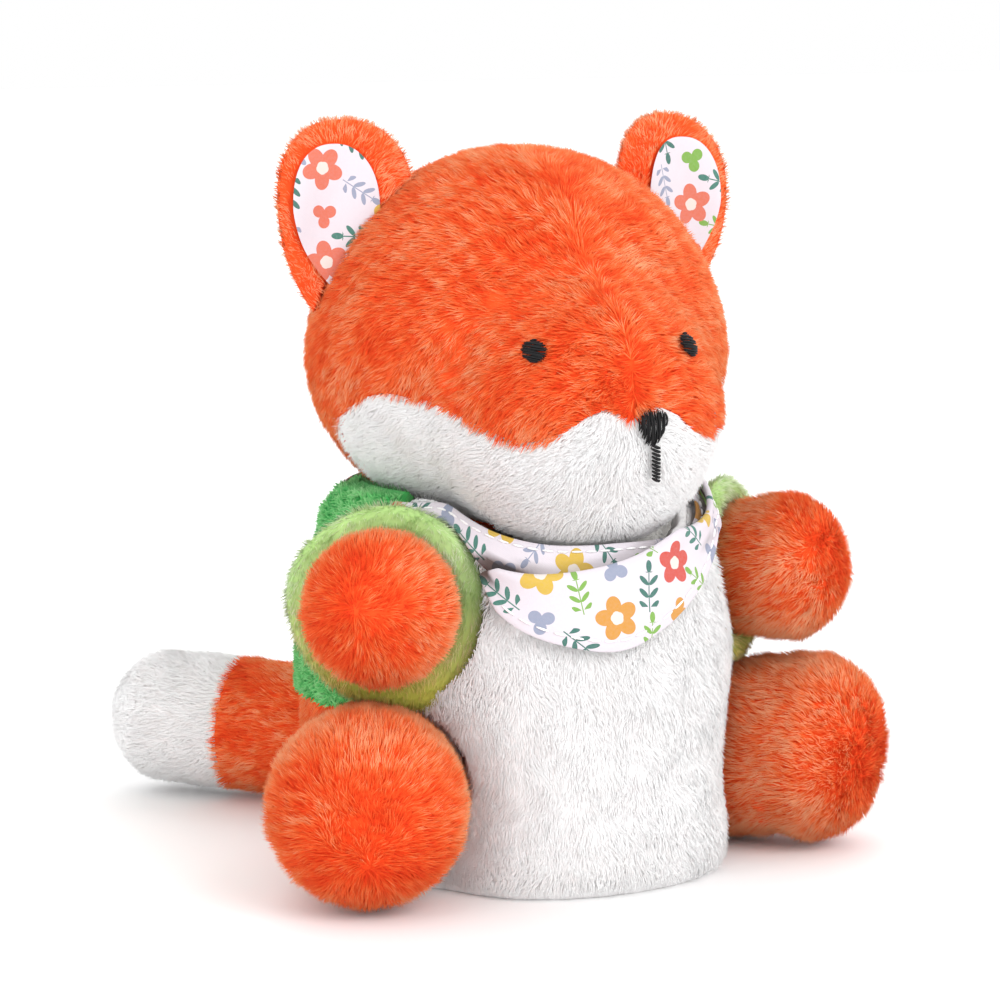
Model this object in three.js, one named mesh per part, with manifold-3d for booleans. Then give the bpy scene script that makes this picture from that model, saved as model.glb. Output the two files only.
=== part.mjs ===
// A sitting plush fox with a jacket and a neckerchief, in millimetres.
// +Z is up, the fox faces -Y and its left side is +X. The origin is on the ground, under its middle.
import * as THREE from 'three';
import { mergeVertices } from 'three/addons/utils/BufferGeometryUtils.js';
import Module from 'manifold-3d';

// Cloth, pile and clearances
const GAP = 0.3; // between two pieces that touch
const SKIN = 4; // plush skin with its pile
const SLEEVE_SKIN = 4.4; // nubby plush of the sleeve
const JACKET_LIFT = 1.4; // how far the jacket stands proud of the body
const COTTON = 1.5; // kerchief cotton with its turned edge
const TURN_ROOM = 1.1; // room round what turns in the body
const TAIL_ROOT_ROOM = 0.35; // room round the tail's ball-shaped root
const OVERRUN = 5; // how far a cutting tool runs past what it cuts
const SLOPE_REACH = 1; // the body's slope is taken this far above and below
const LIMB_BLEND = 0.4; // share of a limb's half turn over which its root swells into its end
const MERGE_REACH = 0.0001; // vertices this near are one

// How many faces each form has, round it and from end to end
const detail = {
  head: [28, 16],
  headInside: [16, 10],
  headPath: [32, 18],
  body: [32, 12],
  bodyInside: [14, 8],
  ear: [20, 12],
  lining: [14, 10],
  limb: [18, 12],
  leg: [20, 12],
  sleeve: [18, 10],
  cuff: [20, 8],
  limbInside: [12, 8],
  limbPath: [18, 12],
  kerchief: [40, 6],
  faceEdge: [56, 2],
  eye: [12, 8],
  nose: [12, 8],
  mouth: [10, 8],
  disc: 6,
  seat: 28,
  search: 24,
};

// Head, and how far it is turned to the fox's left
const head = {
  y: -1.6,
  z: 136,
  turn: -8,
  halfWidth: 54.3,
  faceDepth: 46,
  backDepth: 48.6,
  halfHeight: 51.3,
  cheekSwell: 3.2,
  cheekLevelShare: -0.25,
  cheekSpreadShare: 0.5,
};
const muzzle = { reach: 22.3, droop: 21.5, spread: 39.5, power: 4 };
// The white face's edge seen from the head's middle: degrees round from the front, degrees up
const faceEdgeShare = [
  [0, -12],
  [6, -9.5],
  [12, -12],
  [17.5, -15.6],
  [24, -17.3],
  [32, -16.2],
  [40, -14.2],
  [54, -11.5],
  [67, -10.3],
  [78, -14.5],
  [88, -20.5],
  [95, -28],
  [97, -40],
  [82, -54],
  [40, -66],
  [0, -72],
];

// Eyes, nose and mouth: place across and up in front of the head's middle, size, height of the stitches
const eye = { shift: -2.2, across: 16.3, up: 2.8, halfWidth: 2.7, halfHeight: 2.9, stitch: 1.3 };
const nose = { across: 3.3, up: -11, halfWidth: 3.1, halfHeight: 3.1, taperShare: 0.28, stitch: 1.6 };
const mouth = { across: 4.5, slant: 1.4, top: -14.6, length: 7.6, halfWidth: 0.75, stitch: 0.9 };

// Ears: the middle line from its foot to its tip, and the cupped leaf round it
const ear = {
  foot: { x: 45.5, y: 5.5, z: 143 },
  tip: { x: 47, y: 7, z: 194 },
  turnOut: 8,
  halfWidth: 18,
  halfThick: 4,
  rollShare: 0.6,
  cup: 4,
  widestShare: 0.59,
  footShare: 0.42,
  footPower: 2.2,
  tipPower: 2.3,
  rimPower: 4,
};
const lining = { shift: 3, halfWidth: 11.5, foot: 4, height: 41, thick: 1.2 };

// Body: a barrel with a flat seat and round shoulders
const body = {
  y: -2,
  radius: 58,
  waist: 42,
  lowerHeight: 50,
  upperHeight: 68,
  lowerPower: 7,
  upperPower: 2.8,
  spread: 3,
  spreadLevel: 5,
  spreadReach: 15,
  dent: 10,
  dentTurn: 58,
  dentTurnReach: 17,
  dentLevel: 12,
  dentReach: 30,
};
const panels = { bellyHalfAngle: 76, hem: 45, seatRadius: 45, beanBagTop: 24 };

// Arms and legs: where they turn, which way they point, and their swelling round form
const arm = { x: 46, y: -12, z: 73, turnOut: 36, rise: 5, length: 25, rootRadius: 12.5, endRadius: 20.8 };
const sleeve = { end: 4, skinStart: -6 };
const cuff = { end: 15, flare: 12.5, radius: 24.7, boreRadius: 12, edgePower: 0.6, pathRoom: 1 };
const leg = { x: 49, y: -10, z: 27.5, turnOut: 35, rise: -1, length: 28, rootRadius: 18, endRadius: 26.5 };
const legSkinStart = -10;
const tail = {
  y: 58,
  z: 19,
  turnOut: 36,
  rise: 2,
  length: 68,
  rootRadius: 18,
  endRadius: 20,
  seam: 49,
  skinStart: -6,
};

// How far each joint turns, in degrees
const swing = { headRight: 5, headLeft: 16, armOut: 15, armIn: 3, legOut: 18, legIn: 2, tail: 18 };

// Kerchief: heights of each turn's lower and upper edge, at degrees round from the front
const kerchief = { bandRoom: 1.1, flapRoom: 3.2, easeStart: 54, easeEnd: 70, hemPower: 0.6 };
const flapEdges = [
  { round: -180, low: 85, top: 95 },
  { round: -70, low: 85, top: 96 },
  { round: -52, low: 82, top: 90 },
  { round: -44, low: 77.5, top: 85 },
  { round: -34, low: 69.5, top: 82 },
  { round: -22, low: 65, top: 81.8 },
  { round: -8, low: 63.2, top: 83.5 },
  { round: 4, low: 67.5, top: 86.3 },
  { round: 16, low: 74, top: 90 },
  { round: 28, low: 81, top: 94 },
  { round: 40, low: 86.5, top: 96.5 },
  { round: 70, low: 87, top: 97 },
  { round: 180, low: 85, top: 95 },
];
const bandEdges = [
  { round: -180, low: 90, top: 99 },
  { round: -110, low: 92, top: 97.5 },
  { round: -70, low: 92, top: 97.5 },
  { round: -50, low: 87, top: 98 },
  { round: -32, low: 78.5, top: 93 },
  { round: -8, low: 76, top: 90 },
  { round: 16, low: 79.5, top: 93 },
  { round: 34, low: 86, top: 97.5 },
  { round: 54, low: 91, top: 98.5 },
  { round: 110, low: 92, top: 97.5 },
  { round: 180, low: 90, top: 99 },
];

const wasm = await Module();
wasm.setup();

const radians = THREE.MathUtils.degToRad;
const UP = new THREE.Vector3(0, 0, 1);

// A mesh closed by a pole at each end: place(u, v) goes once round with u, and from pole to pole with v.
function closedForm(place, [around, along]) {
  const points = [place(0, 0)];
  for (let j = 1; j < along; j++) {
    for (let i = 0; i < around; i++) points.push(place(i / around, j / along));
  }
  points.push(place(0, 1));
  const at = (j, i) => 1 + (j - 1) * around + (i % around);
  const faces = [];
  for (let i = 0; i < around; i++) {
    faces.push(0, at(1, i), at(1, i + 1));
    for (let j = 1; j < along - 1; j++) {
      faces.push(at(j, i), at(j + 1, i), at(j + 1, i + 1), at(j, i), at(j + 1, i + 1), at(j, i + 1));
    }
    faces.push(at(along - 1, i), points.length - 1, at(along - 1, i + 1));
  }
  return solidFrom(points, faces);
}

// A mesh like a tyre: place(u, v) goes round the ring with u and round its section with v.
function closedRing(place, [around, across]) {
  const points = [];
  for (let i = 0; i < around; i++) {
    for (let j = 0; j < across; j++) points.push(place(i / around, j / across));
  }
  const at = (i, j) => (i % around) * across + (j % across);
  const faces = [];
  for (let i = 0; i < around; i++) {
    for (let j = 0; j < across; j++) {
      faces.push(at(i, j), at(i + 1, j), at(i + 1, j + 1), at(i, j), at(i + 1, j + 1), at(i, j + 1));
    }
  }
  return solidFrom(points, faces);
}

// The solid of a closed mesh, turned right side out.
function solidFrom(points, faces) {
  const geometry = new THREE.BufferGeometry().setFromPoints(points);
  geometry.setIndex(faces);
  const made = solidOf(geometry);
  if (made.volume() > 0) return made;
  geometry.setIndex([...faces].reverse());
  return solidOf(geometry);
}

function solidOf(geometry) {
  const bare = geometry.clone();
  bare.deleteAttribute('normal');
  bare.deleteAttribute('uv');
  const merged = mergeVertices(bare, MERGE_REACH);
  return new wasm.Manifold(
    new wasm.Mesh({
      numProp: 3,
      vertProperties: new Float32Array(merged.attributes.position.array),
      triVerts: new Uint32Array(merged.index.array),
    }),
  );
}

const mirrored = (solid) => solid.transform(new THREE.Matrix4().makeScale(-1, 1, 1).elements);

// Heading from turnOut degrees off the front towards the fox's left, rise degrees up
function heading(turnOut, rise) {
  const level = Math.cos(radians(rise));
  return new THREE.Vector3(
    Math.sin(radians(turnOut)) * level,
    -Math.cos(radians(turnOut)) * level,
    Math.sin(radians(rise)),
  );
}

// Heading of a point of a round form, from a turn share u and a share v from its top to its bottom
const headingAt = (u, v) => heading(360 * u, 90 - 180 * v);

// Head: an egg with cheeks that swell low down and a broad muzzle, drawn in by inset
const headMiddle = new THREE.Vector3(0, head.y, head.z);
const muzzleHeading = heading(0, -muzzle.droop);

function headRadius(direction) {
  const level = (direction.z - head.cheekLevelShare) / head.cheekSpreadShare;
  const width = head.halfWidth + head.cheekSwell * Math.exp(-level * level);
  const depth = direction.y < 0 ? head.faceDepth : head.backDepth;
  const egg = Math.hypot(direction.x / width, direction.y / depth, direction.z / head.halfHeight);
  const away = direction.angleTo(muzzleHeading) / radians(muzzle.spread);
  return 1 / egg + muzzle.reach * Math.exp(-(away ** muzzle.power));
}

const headPoint = (direction, inset) =>
  direction.clone().multiplyScalar(headRadius(direction) - inset).add(headMiddle);

const headForm = (inset, faces) => closedForm((u, v) => headPoint(headingAt(u, v), inset), faces);

// The head's pieces are made facing straight ahead, and then turned with it
const turnAbout = (pivot, axis, degrees) =>
  new THREE.Matrix4()
    .makeTranslation(pivot.x, pivot.y, pivot.z)
    .multiply(new THREE.Matrix4().makeRotationAxis(axis, radians(degrees)))
    .multiply(new THREE.Matrix4().makeTranslation(-pivot.x, -pivot.y, -pivot.z));
const headTurned = (solid) => solid.transform(turnAbout(headMiddle, UP, head.turn).elements);

// The cone from the head's middle through the white face's edge, closed in front of the muzzle
function faceCone(shift) {
  const right = faceEdgeShare.slice(1, -1).map(([round, rise]) => [-round, rise]);
  const edge = [...faceEdgeShare, ...right.reverse()].map(([round, rise]) => heading(round, rise));
  const loop = new THREE.CatmullRomCurve3(edge, true, 'centripetal');
  const reach = 2 * head.halfWidth;
  const middle = headMiddle.clone().addScaledVector(muzzleHeading, shift);
  return closedForm(
    (u, v) => {
      if (v === 0) return middle.clone();
      if (v === 1) return middle.clone().addScaledVector(muzzleHeading, 2 * reach);
      return middle.clone().addScaledVector(loop.getPoint(u).normalize(), reach);
    },
    detail.faceEdge,
  );
}

// A lens of stitches on the head. outline(u, share) gives its place across and up from the head's middle.
function stitched(outline, height, faces) {
  return closedForm(
    (u, v) => {
      const share = v <= 0.5 ? 2 * v : 2 * (1 - v);
      const dome = v <= 0.5 ? height * Math.sqrt(1 - share * share) : 0;
      const [across, up] = outline(u, share);
      const direction = new THREE.Vector3(across, -head.faceDepth, up);
      return headPoint(direction.normalize(), -GAP - dome);
    },
    faces,
  );
}

const eyeOutline = (across) => (u, share) => {
  const turn = 2 * Math.PI * u;
  return [across + share * eye.halfWidth * Math.cos(turn), eye.up + share * eye.halfHeight * Math.sin(turn)];
};

// Rounded triangle, wide at the top, for the nose
const noseOutline = (u, share) => {
  const turn = 2 * Math.PI * u;
  const taper = 1 - nose.taperShare + nose.taperShare * Math.sin(turn);
  return [
    nose.across + share * nose.halfWidth * Math.cos(turn) * taper,
    nose.up + share * nose.halfHeight * Math.sin(turn),
  ];
};

const mouthOutline = (u, share) => {
  const turn = 2 * Math.PI * u;
  const halfLength = mouth.length / 2;
  const slant = (mouth.slant * Math.sin(turn)) / 2;
  return [
    mouth.across + share * (mouth.halfWidth * Math.cos(turn) - slant),
    mouth.top - halfLength + share * halfLength * Math.sin(turn),
  ];
};

// Ear: a cupped leaf. Its own directions are out sideways, up along the middle line, and forward.
const earFoot = new THREE.Vector3(ear.foot.x, ear.foot.y, ear.foot.z);
const earTip = new THREE.Vector3(ear.tip.x, ear.tip.y, ear.tip.z);
const earHeight = earFoot.distanceTo(earTip);
const earUp = earTip.clone().sub(earFoot).normalize();
const earOut = new THREE.Vector3().crossVectors(earUp, heading(ear.turnOut, 0)).normalize();
const earFront = new THREE.Vector3().crossVectors(earOut, earUp).normalize();

// Half width at a share of the height: round above the widest place, tapering to the foot below it
function leafHalfWidth(share, halfWidth, footShare) {
  if (share < ear.widestShare) {
    return halfWidth * (1 - (1 - footShare) * ((ear.widestShare - share) / ear.widestShare) ** ear.footPower);
  }
  const climb = Math.min(1, (share - ear.widestShare) / (1 - ear.widestShare));
  return halfWidth * (1 - climb ** ear.tipPower) ** (1 / ear.tipPower);
}

const earHalfWidth = (share) => leafHalfWidth(share, ear.halfWidth, ear.footShare);

function earPoint(across, share, forward) {
  const bent = ear.cup * (across / ear.halfWidth) ** 2;
  return earFoot
    .clone()
    .addScaledVector(earOut, across)
    .addScaledVector(earUp, share * earHeight)
    .addScaledVector(earFront, bent + forward);
}

// Thickness eases to nothing at the leaf's edge, but slowly, so the edge stays a round roll, which is
// fatter on the side of the head's middle. rim goes from -1 there to 1 at the outer edge.
function earHalfThick(rim) {
  const roll = 1 + ear.rollShare * THREE.MathUtils.smoothstep(-rim, 0, 1);
  return ear.halfThick * roll * Math.sqrt(Math.max(0, 1 - Math.abs(rim) ** ear.rimPower));
}

const ends = (v) => (1 - Math.cos(Math.PI * v)) / 2;

function earLeaf() {
  return closedForm(
    (u, v) => {
      if (v === 0) return earPoint(0, 0, 0);
      const turn = 2 * Math.PI * u;
      const across = Math.cos(turn) * earHalfWidth(ends(v));
      const ease = v > 0.5 ? Math.sqrt(Math.sin(Math.PI * v)) : 1;
      const thick = earHalfThick(Math.cos(turn)) * ease;
      return earPoint(across, ends(v), Math.sin(turn) * thick);
    },
    detail.ear,
  );
}

function earLining() {
  const foot = lining.foot / earHeight;
  const rise = lining.height / earHeight;
  return closedForm(
    (u, v) => {
      const climb = ends(v);
      const share = foot + rise * climb;
      const turn = 2 * Math.PI * u;
      const shift = lining.shift * Math.min(1, climb / ear.widestShare);
      const across = shift + Math.cos(turn) * leafHalfWidth(climb, lining.halfWidth, 0);
      const bed = earHalfThick(across / earHalfWidth(share)) + GAP;
      return earPoint(across, share, bed + (lining.thick * (1 + Math.sin(turn))) / 2);
    },
    detail.lining,
  );
}

// Body: a superellipse turned about the upright axis, flat below the seat
function bodyRadius(z, lift, round) {
  const upper = z > body.waist;
  const height = (upper ? body.upperHeight : body.lowerHeight) + lift;
  const power = upper ? body.upperPower : body.lowerPower;
  const share = Math.min(1, Math.abs(z - body.waist) / height);
  return (body.radius + lift + spreadAt(z) - dentAt(round, z)) * (1 - share ** power) ** (1 / power);
}

// The beans in the seat spread the body a little, low down
const spreadAt = (z) => body.spread * Math.exp(-(((z - body.spreadLevel) / body.spreadReach) ** 2));

// The legs press the body in a little, to each side of its front
function dentAt(round, z) {
  const turn = (Math.abs(round) - body.dentTurn) / body.dentTurnReach;
  const level = (z - body.dentLevel) / body.dentReach;
  return body.dent * Math.exp(-turn * turn - level * level);
}

// Degrees round from the front, from -180 to 180
const signedRound = (degrees) => THREE.MathUtils.euclideanModulo(degrees + 180, 360) - 180;

// The body's form, grown by lift (or drawn in), standing on a flat seat at the height floor. From the
// top down its rings crowd towards the shoulders, and they are even below the waist.
function bodyForm(lift, floor, [around, along]) {
  const middle = new THREE.Vector3(0, body.y, 0);
  const rings = along / 2;
  return closedForm(
    (u, v) => {
      const rise = Math.cos(Math.PI * v) ** (2 / body.upperPower) * (body.upperHeight + lift);
      const fall = (v * along - rings) / (rings - 1);
      const z = fall < 0 ? body.waist + rise : THREE.MathUtils.lerp(body.waist, floor, Math.min(1, fall));
      const radius = v === 0 || v === 1 ? 0 : bodyRadius(z, lift, signedRound(360 * u));
      return heading(360 * u, 0).multiplyScalar(radius).setZ(z).add(middle);
    },
    [around, along],
  );
}

// A limb: round about its line, with a round root at its pivot and a round end, grown by lift
function limbForm(limb, lift, faces) {
  const line = limb.line;
  const side = new THREE.Vector3().crossVectors(UP, line).normalize();
  const over = new THREE.Vector3().crossVectors(line, side);
  return closedForm(
    (u, v) => {
      const turn = Math.PI * v;
      const outer = THREE.MathUtils.smoothstep(Math.cos(turn), -LIMB_BLEND, LIMB_BLEND);
      const radius = THREE.MathUtils.lerp(limb.rootRadius, limb.endRadius, outer) + lift;
      const round = 2 * Math.PI * u;
      return limb.pivot
        .clone()
        .addScaledVector(line, outer * limb.length + radius * Math.cos(turn))
        .addScaledVector(side, radius * Math.sin(turn) * Math.cos(round))
        .addScaledVector(over, radius * Math.sin(turn) * Math.sin(round));
    },
    faces,
  );
}

// A thick disc square to a limb's line, from one distance along it to another
function limbSlice(limb, start, end) {
  const radius = 2 * limb.endRadius;
  const disc = new THREE.CylinderGeometry(radius, radius, end - start, detail.disc);
  disc.translate(0, (start + end) / 2, 0);
  const upright = new THREE.Vector3(0, 1, 0);
  const place = new THREE.Matrix4().makeRotationFromQuaternion(
    new THREE.Quaternion().setFromUnitVectors(upright, limb.line),
  );
  disc.applyMatrix4(place).translate(limb.pivot.x, limb.pivot.y, limb.pivot.z);
  return solidOf(disc);
}

// A cuff: a ring round a limb, which flares towards its end and has round edges
function cuffRing(limb, start, end, faces) {
  const side = new THREE.Vector3().crossVectors(UP, limb.line).normalize();
  const over = new THREE.Vector3().crossVectors(limb.line, side);
  const soft = (x) => Math.sign(x) * Math.abs(x) ** cuff.edgePower;
  return closedRing(
    (u, v) => {
      const round = 2 * Math.PI * u;
      const turn = 2 * Math.PI * v;
      const along = THREE.MathUtils.lerp(start, end, (1 + soft(Math.cos(turn))) / 2);
      const outer = THREE.MathUtils.lerp(limb.rootRadius, limb.endRadius, Math.min(1, along / limb.length));
      const radius = THREE.MathUtils.lerp(cuff.boreRadius, outer, (1 + soft(Math.sin(turn))) / 2);
      return limb.pivot
        .clone()
        .addScaledVector(limb.line, along)
        .addScaledVector(side, radius * Math.cos(round))
        .addScaledVector(over, radius * Math.sin(round));
    },
    faces,
  );
}

const armLimb = {
  ...arm,
  pivot: new THREE.Vector3(arm.x, arm.y, arm.z),
  line: heading(arm.turnOut, arm.rise),
};
const legLimb = {
  ...leg,
  pivot: new THREE.Vector3(leg.x, leg.y, leg.z),
  line: heading(leg.turnOut, leg.rise),
};
const tailLimb = {
  ...tail,
  pivot: new THREE.Vector3(0, tail.y, tail.z),
  line: heading(180 + tail.turnOut, tail.rise),
};

// The space that a turning piece passes through: from centre, each direction reaches as far as the
// piece does at any of its turns. inside(point, room) says whether the piece, grown by room, is there.
function sweptForm(inside, centre, turns, reach, faces) {
  return closedForm(
    (u, v) => {
      const direction = headingAt(u, v);
      let near = 0;
      let far = reach;
      for (let i = 0; i < detail.search; i++) {
        const middle = (near + far) / 2;
        const point = centre.clone().addScaledVector(direction, middle);
        if (turns.some((turn) => inside(point.clone().applyMatrix4(turn), TURN_ROOM))) near = middle;
        else far = middle;
      }
      return centre.clone().addScaledVector(direction, near);
    },
    faces,
  );
}

// Whether a point is within a limb's form grown by room, or by rootRoom behind its pivot
function insideLimb(limb, rootRoom) {
  return (point, room) => {
    const away = point.clone().sub(limb.pivot);
    const along = THREE.MathUtils.clamp(away.dot(limb.line) / limb.length, 0, 1);
    const radius = THREE.MathUtils.lerp(limb.rootRadius, limb.endRadius, along);
    const spare = along > 0 ? room : rootRoom;
    return away.addScaledVector(limb.line, -along * limb.length).length() < radius + spare;
  };
}

function insideHead(point, room) {
  const away = point.clone().sub(headMiddle);
  const distance = away.length();
  return distance < headRadius(away.normalize()) + room;
}

// A limb's path, as it turns about the upright axis through its pivot between two angles
function limbPath(limb, from, to, rootRoom = TURN_ROOM) {
  const turns = [from, from / 2, 0, to / 2, to].map((angle) => turnAbout(limb.pivot, UP, -angle));
  const reach = limb.length + 2 * limb.endRadius;
  return sweptForm(insideLimb(limb, rootRoom), limb.pivot, turns, reach, detail.limbPath);
}

const cuffLimb = {
  ...armLimb,
  length: cuff.flare,
  rootRadius: arm.rootRadius + GAP + SLEEVE_SKIN,
  endRadius: cuff.radius,
};
const cuffReach = { ...cuffLimb, endRadius: cuff.radius + cuff.pathRoom };
const cuffPath = limbPath(cuffReach, -swing.armIn, swing.armOut);
const armPath = limbPath(armLimb, -swing.armIn, swing.armOut).add(cuffPath);
const legPath = limbPath(legLimb, -swing.legIn, swing.legOut);
const tailPath = limbPath(tailLimb, -swing.tail, swing.tail, TAIL_ROOT_ROOM);
const headTurns = [-1, -0.5, 0, 0.5, 1].map((share) => {
  const middle = (swing.headLeft - swing.headRight) / 2;
  const half = (swing.headLeft + swing.headRight) / 2;
  return turnAbout(headMiddle, UP, -head.turn - middle - share * half);
});
const headPath = sweptForm(insideHead, headMiddle, headTurns, 2 * head.halfHeight, detail.headPath);
const clearOfAll = (solid) =>
  [armPath, mirrored(armPath), legPath, mirrored(legPath), tailPath, headPath].reduce(
    (left, path) => left.subtract(path),
    solid,
  );

// An upright wedge that opens to the front, between the side seams
function bellyWedge(shift) {
  const reach = 2 * body.radius;
  const far = heading(panels.bellyHalfAngle, 0).multiplyScalar(reach);
  const outline = new THREE.Shape([
    new THREE.Vector2(0, body.y - shift),
    new THREE.Vector2(-far.x, body.y + far.y - shift),
    new THREE.Vector2(-reach, -reach),
    new THREE.Vector2(reach, -reach),
    new THREE.Vector2(far.x, body.y + far.y - shift),
  ]);
  const height = body.waist + body.upperHeight + 2 * OVERRUN;
  const wedge = new THREE.ExtrudeGeometry(outline, { depth: height, bevelEnabled: false });
  return solidOf(wedge.translate(0, 0, -OVERRUN));
}

// An upright round tool at the body's middle
function roundTool(radius, low, high, sides) {
  const tool = new THREE.CylinderGeometry(radius, radius, high - low, sides).rotateX(Math.PI / 2);
  return solidOf(tool.translate(0, body.y, (low + high) / 2));
}

const bodyTop = body.waist + body.upperHeight + OVERRUN;
const belowHem = (height) => roundTool(2 * body.radius, -OVERRUN, height, detail.disc);

// The lower and upper edge of a kerchief turn at degrees round: a smooth curve through the named ones
function edgeAt(edges, round) {
  const next = THREE.MathUtils.clamp(edges.findIndex((edge) => edge.round >= round), 1, edges.length - 1);
  const near = (index) => edges[THREE.MathUtils.clamp(index, 0, edges.length - 1)];
  const [before, from, to, after] = [next - 2, next - 1, next, next + 1].map(near);
  const span = to.round - from.round;
  const t = (round - from.round) / span;
  return ['low', 'top'].map((key) => {
    const start = ((to[key] - before[key]) / (to.round - before.round)) * span;
    const end = ((after[key] - from[key]) / (after.round - from.round)) * span;
    const ends = (2 * t ** 3 - 3 * t ** 2 + 1) * from[key] + (3 * t ** 2 - 2 * t ** 3) * to[key];
    return ends + (t ** 3 - 2 * t ** 2 + t) * start + (t ** 3 - t ** 2) * end;
  });
}

// A turn of the kerchief: a strip of cotton with round hems that follows the body, room off it
function kerchiefTurn(edges, room) {
  const middle = new THREE.Vector3(0, body.y, 0);
  return closedRing(
    (u, v) => {
      const round = signedRound(360 * u);
      const [low, top] = edgeAt(edges, round);
      const turn = 2 * Math.PI * v;
      const climb = 0.5 + (Math.sign(Math.cos(turn)) * Math.abs(Math.cos(turn)) ** kerchief.hemPower) / 2;
      const level = THREE.MathUtils.lerp(low, top, climb);
      const lift = JACKET_LIFT * THREE.MathUtils.smoothstep(Math.abs(round), kerchief.easeStart, kerchief.easeEnd);
      const narrowing = bodyRadius(level + SLOPE_REACH, lift, round) - bodyRadius(level - SLOPE_REACH, lift, round);
      const slope = new THREE.Vector2(narrowing, 2 * SLOPE_REACH).normalize();
      const stand = room + (COTTON * Math.sin(turn)) / 2;
      const radius = bodyRadius(level, lift, round) + stand * slope.y;
      return heading(360 * u, 0).multiplyScalar(radius).setZ(level - stand * slope.x).add(middle);
    },
    detail.kerchief,
  );
}

// The pieces
const model = new THREE.Group();

function add(name, solid, colour, roughness) {
  const mesh = solid.getMesh();
  const geometry = new THREE.BufferGeometry();
  const places = new Float32Array(mesh.vertProperties);
  geometry.setAttribute('position', new THREE.BufferAttribute(places, mesh.numProp));
  geometry.setIndex(new THREE.BufferAttribute(new Uint32Array(mesh.triVerts), 1));
  geometry.computeVertexNormals();
  const material = new THREE.MeshStandardMaterial({ color: colour, roughness, metalness: 0 });
  const piece = new THREE.Mesh(geometry, material);
  piece.name = name;
  model.add(piece);
}

function addPair(name, solid, colour, roughness, place = (made) => made) {
  add(`${name}_left`, place(solid), colour, roughness);
  add(`${name}_right`, place(mirrored(solid)), colour, roughness);
}

const ORANGE = 0xf0653a;
const WHITE = 0xf3efec;
const GREEN = 0x5fae5a;
const PALE_GREEN = 0xb5d78f;
const BLACK = 0x151515;
const FILLING = 0xf7f7f4;
const PRINT = 0xefe6f0;
const PLUSH = 0.95;
const THREAD = 0.6;

// Head
const headShell = headForm(0, detail.head).subtract(headForm(SKIN, detail.headInside));
const faceGap = GAP / Math.sin(radians(muzzle.droop));
add('head_crown', headTurned(headShell.subtract(faceCone(0))), ORANGE, PLUSH);
add('head_face', headTurned(headShell.intersect(faceCone(faceGap))), WHITE, PLUSH);
add('head_filling', headTurned(headForm(SKIN + GAP, detail.headInside)), FILLING, PLUSH);
add('eye_left', headTurned(stitched(eyeOutline(eye.shift + eye.across), eye.stitch, detail.eye)), BLACK, THREAD);
add('eye_right', headTurned(stitched(eyeOutline(eye.shift - eye.across), eye.stitch, detail.eye)), BLACK, THREAD);
add('nose', headTurned(stitched(noseOutline, nose.stitch, detail.nose)), BLACK, THREAD);
add('mouth_line', headTurned(stitched(mouthOutline, mouth.stitch, detail.mouth)), BLACK, THREAD);
const headSeat = headForm(-GAP, detail.head);
addPair('ear_back', earLeaf().subtract(headSeat), ORANGE, PLUSH, headTurned);
addPair('ear_lining', earLining().subtract(headSeat), PRINT, PLUSH, headTurned);

// Body
const bodyShell = bodyForm(0, 0, detail.body).subtract(bodyForm(-SKIN, SKIN, detail.bodyInside));
const sides = bodyShell.subtract(roundTool(panels.seatRadius, -OVERRUN, 2 * SKIN, detail.seat));
add('belly_panel', clearOfAll(sides.intersect(bellyWedge(GAP))), WHITE, PLUSH);
const jacketShell = bodyForm(JACKET_LIFT, 0, detail.body).subtract(bodyForm(-SKIN, SKIN, detail.bodyInside));
const jacket = jacketShell.subtract(bellyWedge(0)).subtract(belowHem(panels.hem + GAP));
add('jacket_back', clearOfAll(jacket), GREEN, PLUSH);
const rump = sides.subtract(bellyWedge(0)).intersect(belowHem(panels.hem));
add('rump_panel', clearOfAll(rump), ORANGE, PLUSH);
add(
  'seat_panel',
  bodyShell.intersect(roundTool(panels.seatRadius - GAP, -OVERRUN, SKIN, detail.seat)),
  WHITE,
  PLUSH,
);
const inside = bodyForm(-SKIN - GAP, SKIN + GAP, detail.bodyInside);
add('body_filling', clearOfAll(inside.subtract(belowHem(panels.beanBagTop + GAP))), FILLING, PLUSH);
add('bean_bag', clearOfAll(inside.intersect(belowHem(panels.beanBagTop))), PRINT, PLUSH);

// Arms
const armReach = armLimb.length + 2 * armLimb.endRadius;
const sleeveInside = limbForm(armLimb, GAP, detail.sleeve);
const sleeveBlank = limbForm(armLimb, GAP + SLEEVE_SKIN, detail.sleeve).subtract(sleeveInside);
addPair('sleeve', sleeveBlank.intersect(limbSlice(armLimb, -armReach, sleeve.end)), GREEN, PLUSH);
const turnedCuff = cuffRing(cuffLimb, sleeve.end + GAP, cuff.end, detail.cuff);
addPair('cuff', turnedCuff.subtract(sleeveInside), PALE_GREEN, PLUSH);
const pawShell = limbForm(armLimb, 0, detail.limb).subtract(limbForm(armLimb, -SKIN, detail.limbInside));
addPair('paw', pawShell.intersect(limbSlice(armLimb, sleeve.skinStart, armReach)), ORANGE, PLUSH);
addPair('arm_filling', limbForm(armLimb, -SKIN - GAP, detail.limbInside), FILLING, PLUSH);

// Legs
const legReach = legLimb.length + 2 * legLimb.endRadius;
const legShell = limbForm(legLimb, 0, detail.leg).subtract(limbForm(legLimb, -SKIN, detail.limbInside));
addPair('leg', legShell.intersect(limbSlice(legLimb, legSkinStart, legReach)), ORANGE, PLUSH);
addPair('leg_filling', limbForm(legLimb, -SKIN - GAP, detail.limbInside), FILLING, PLUSH);

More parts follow.
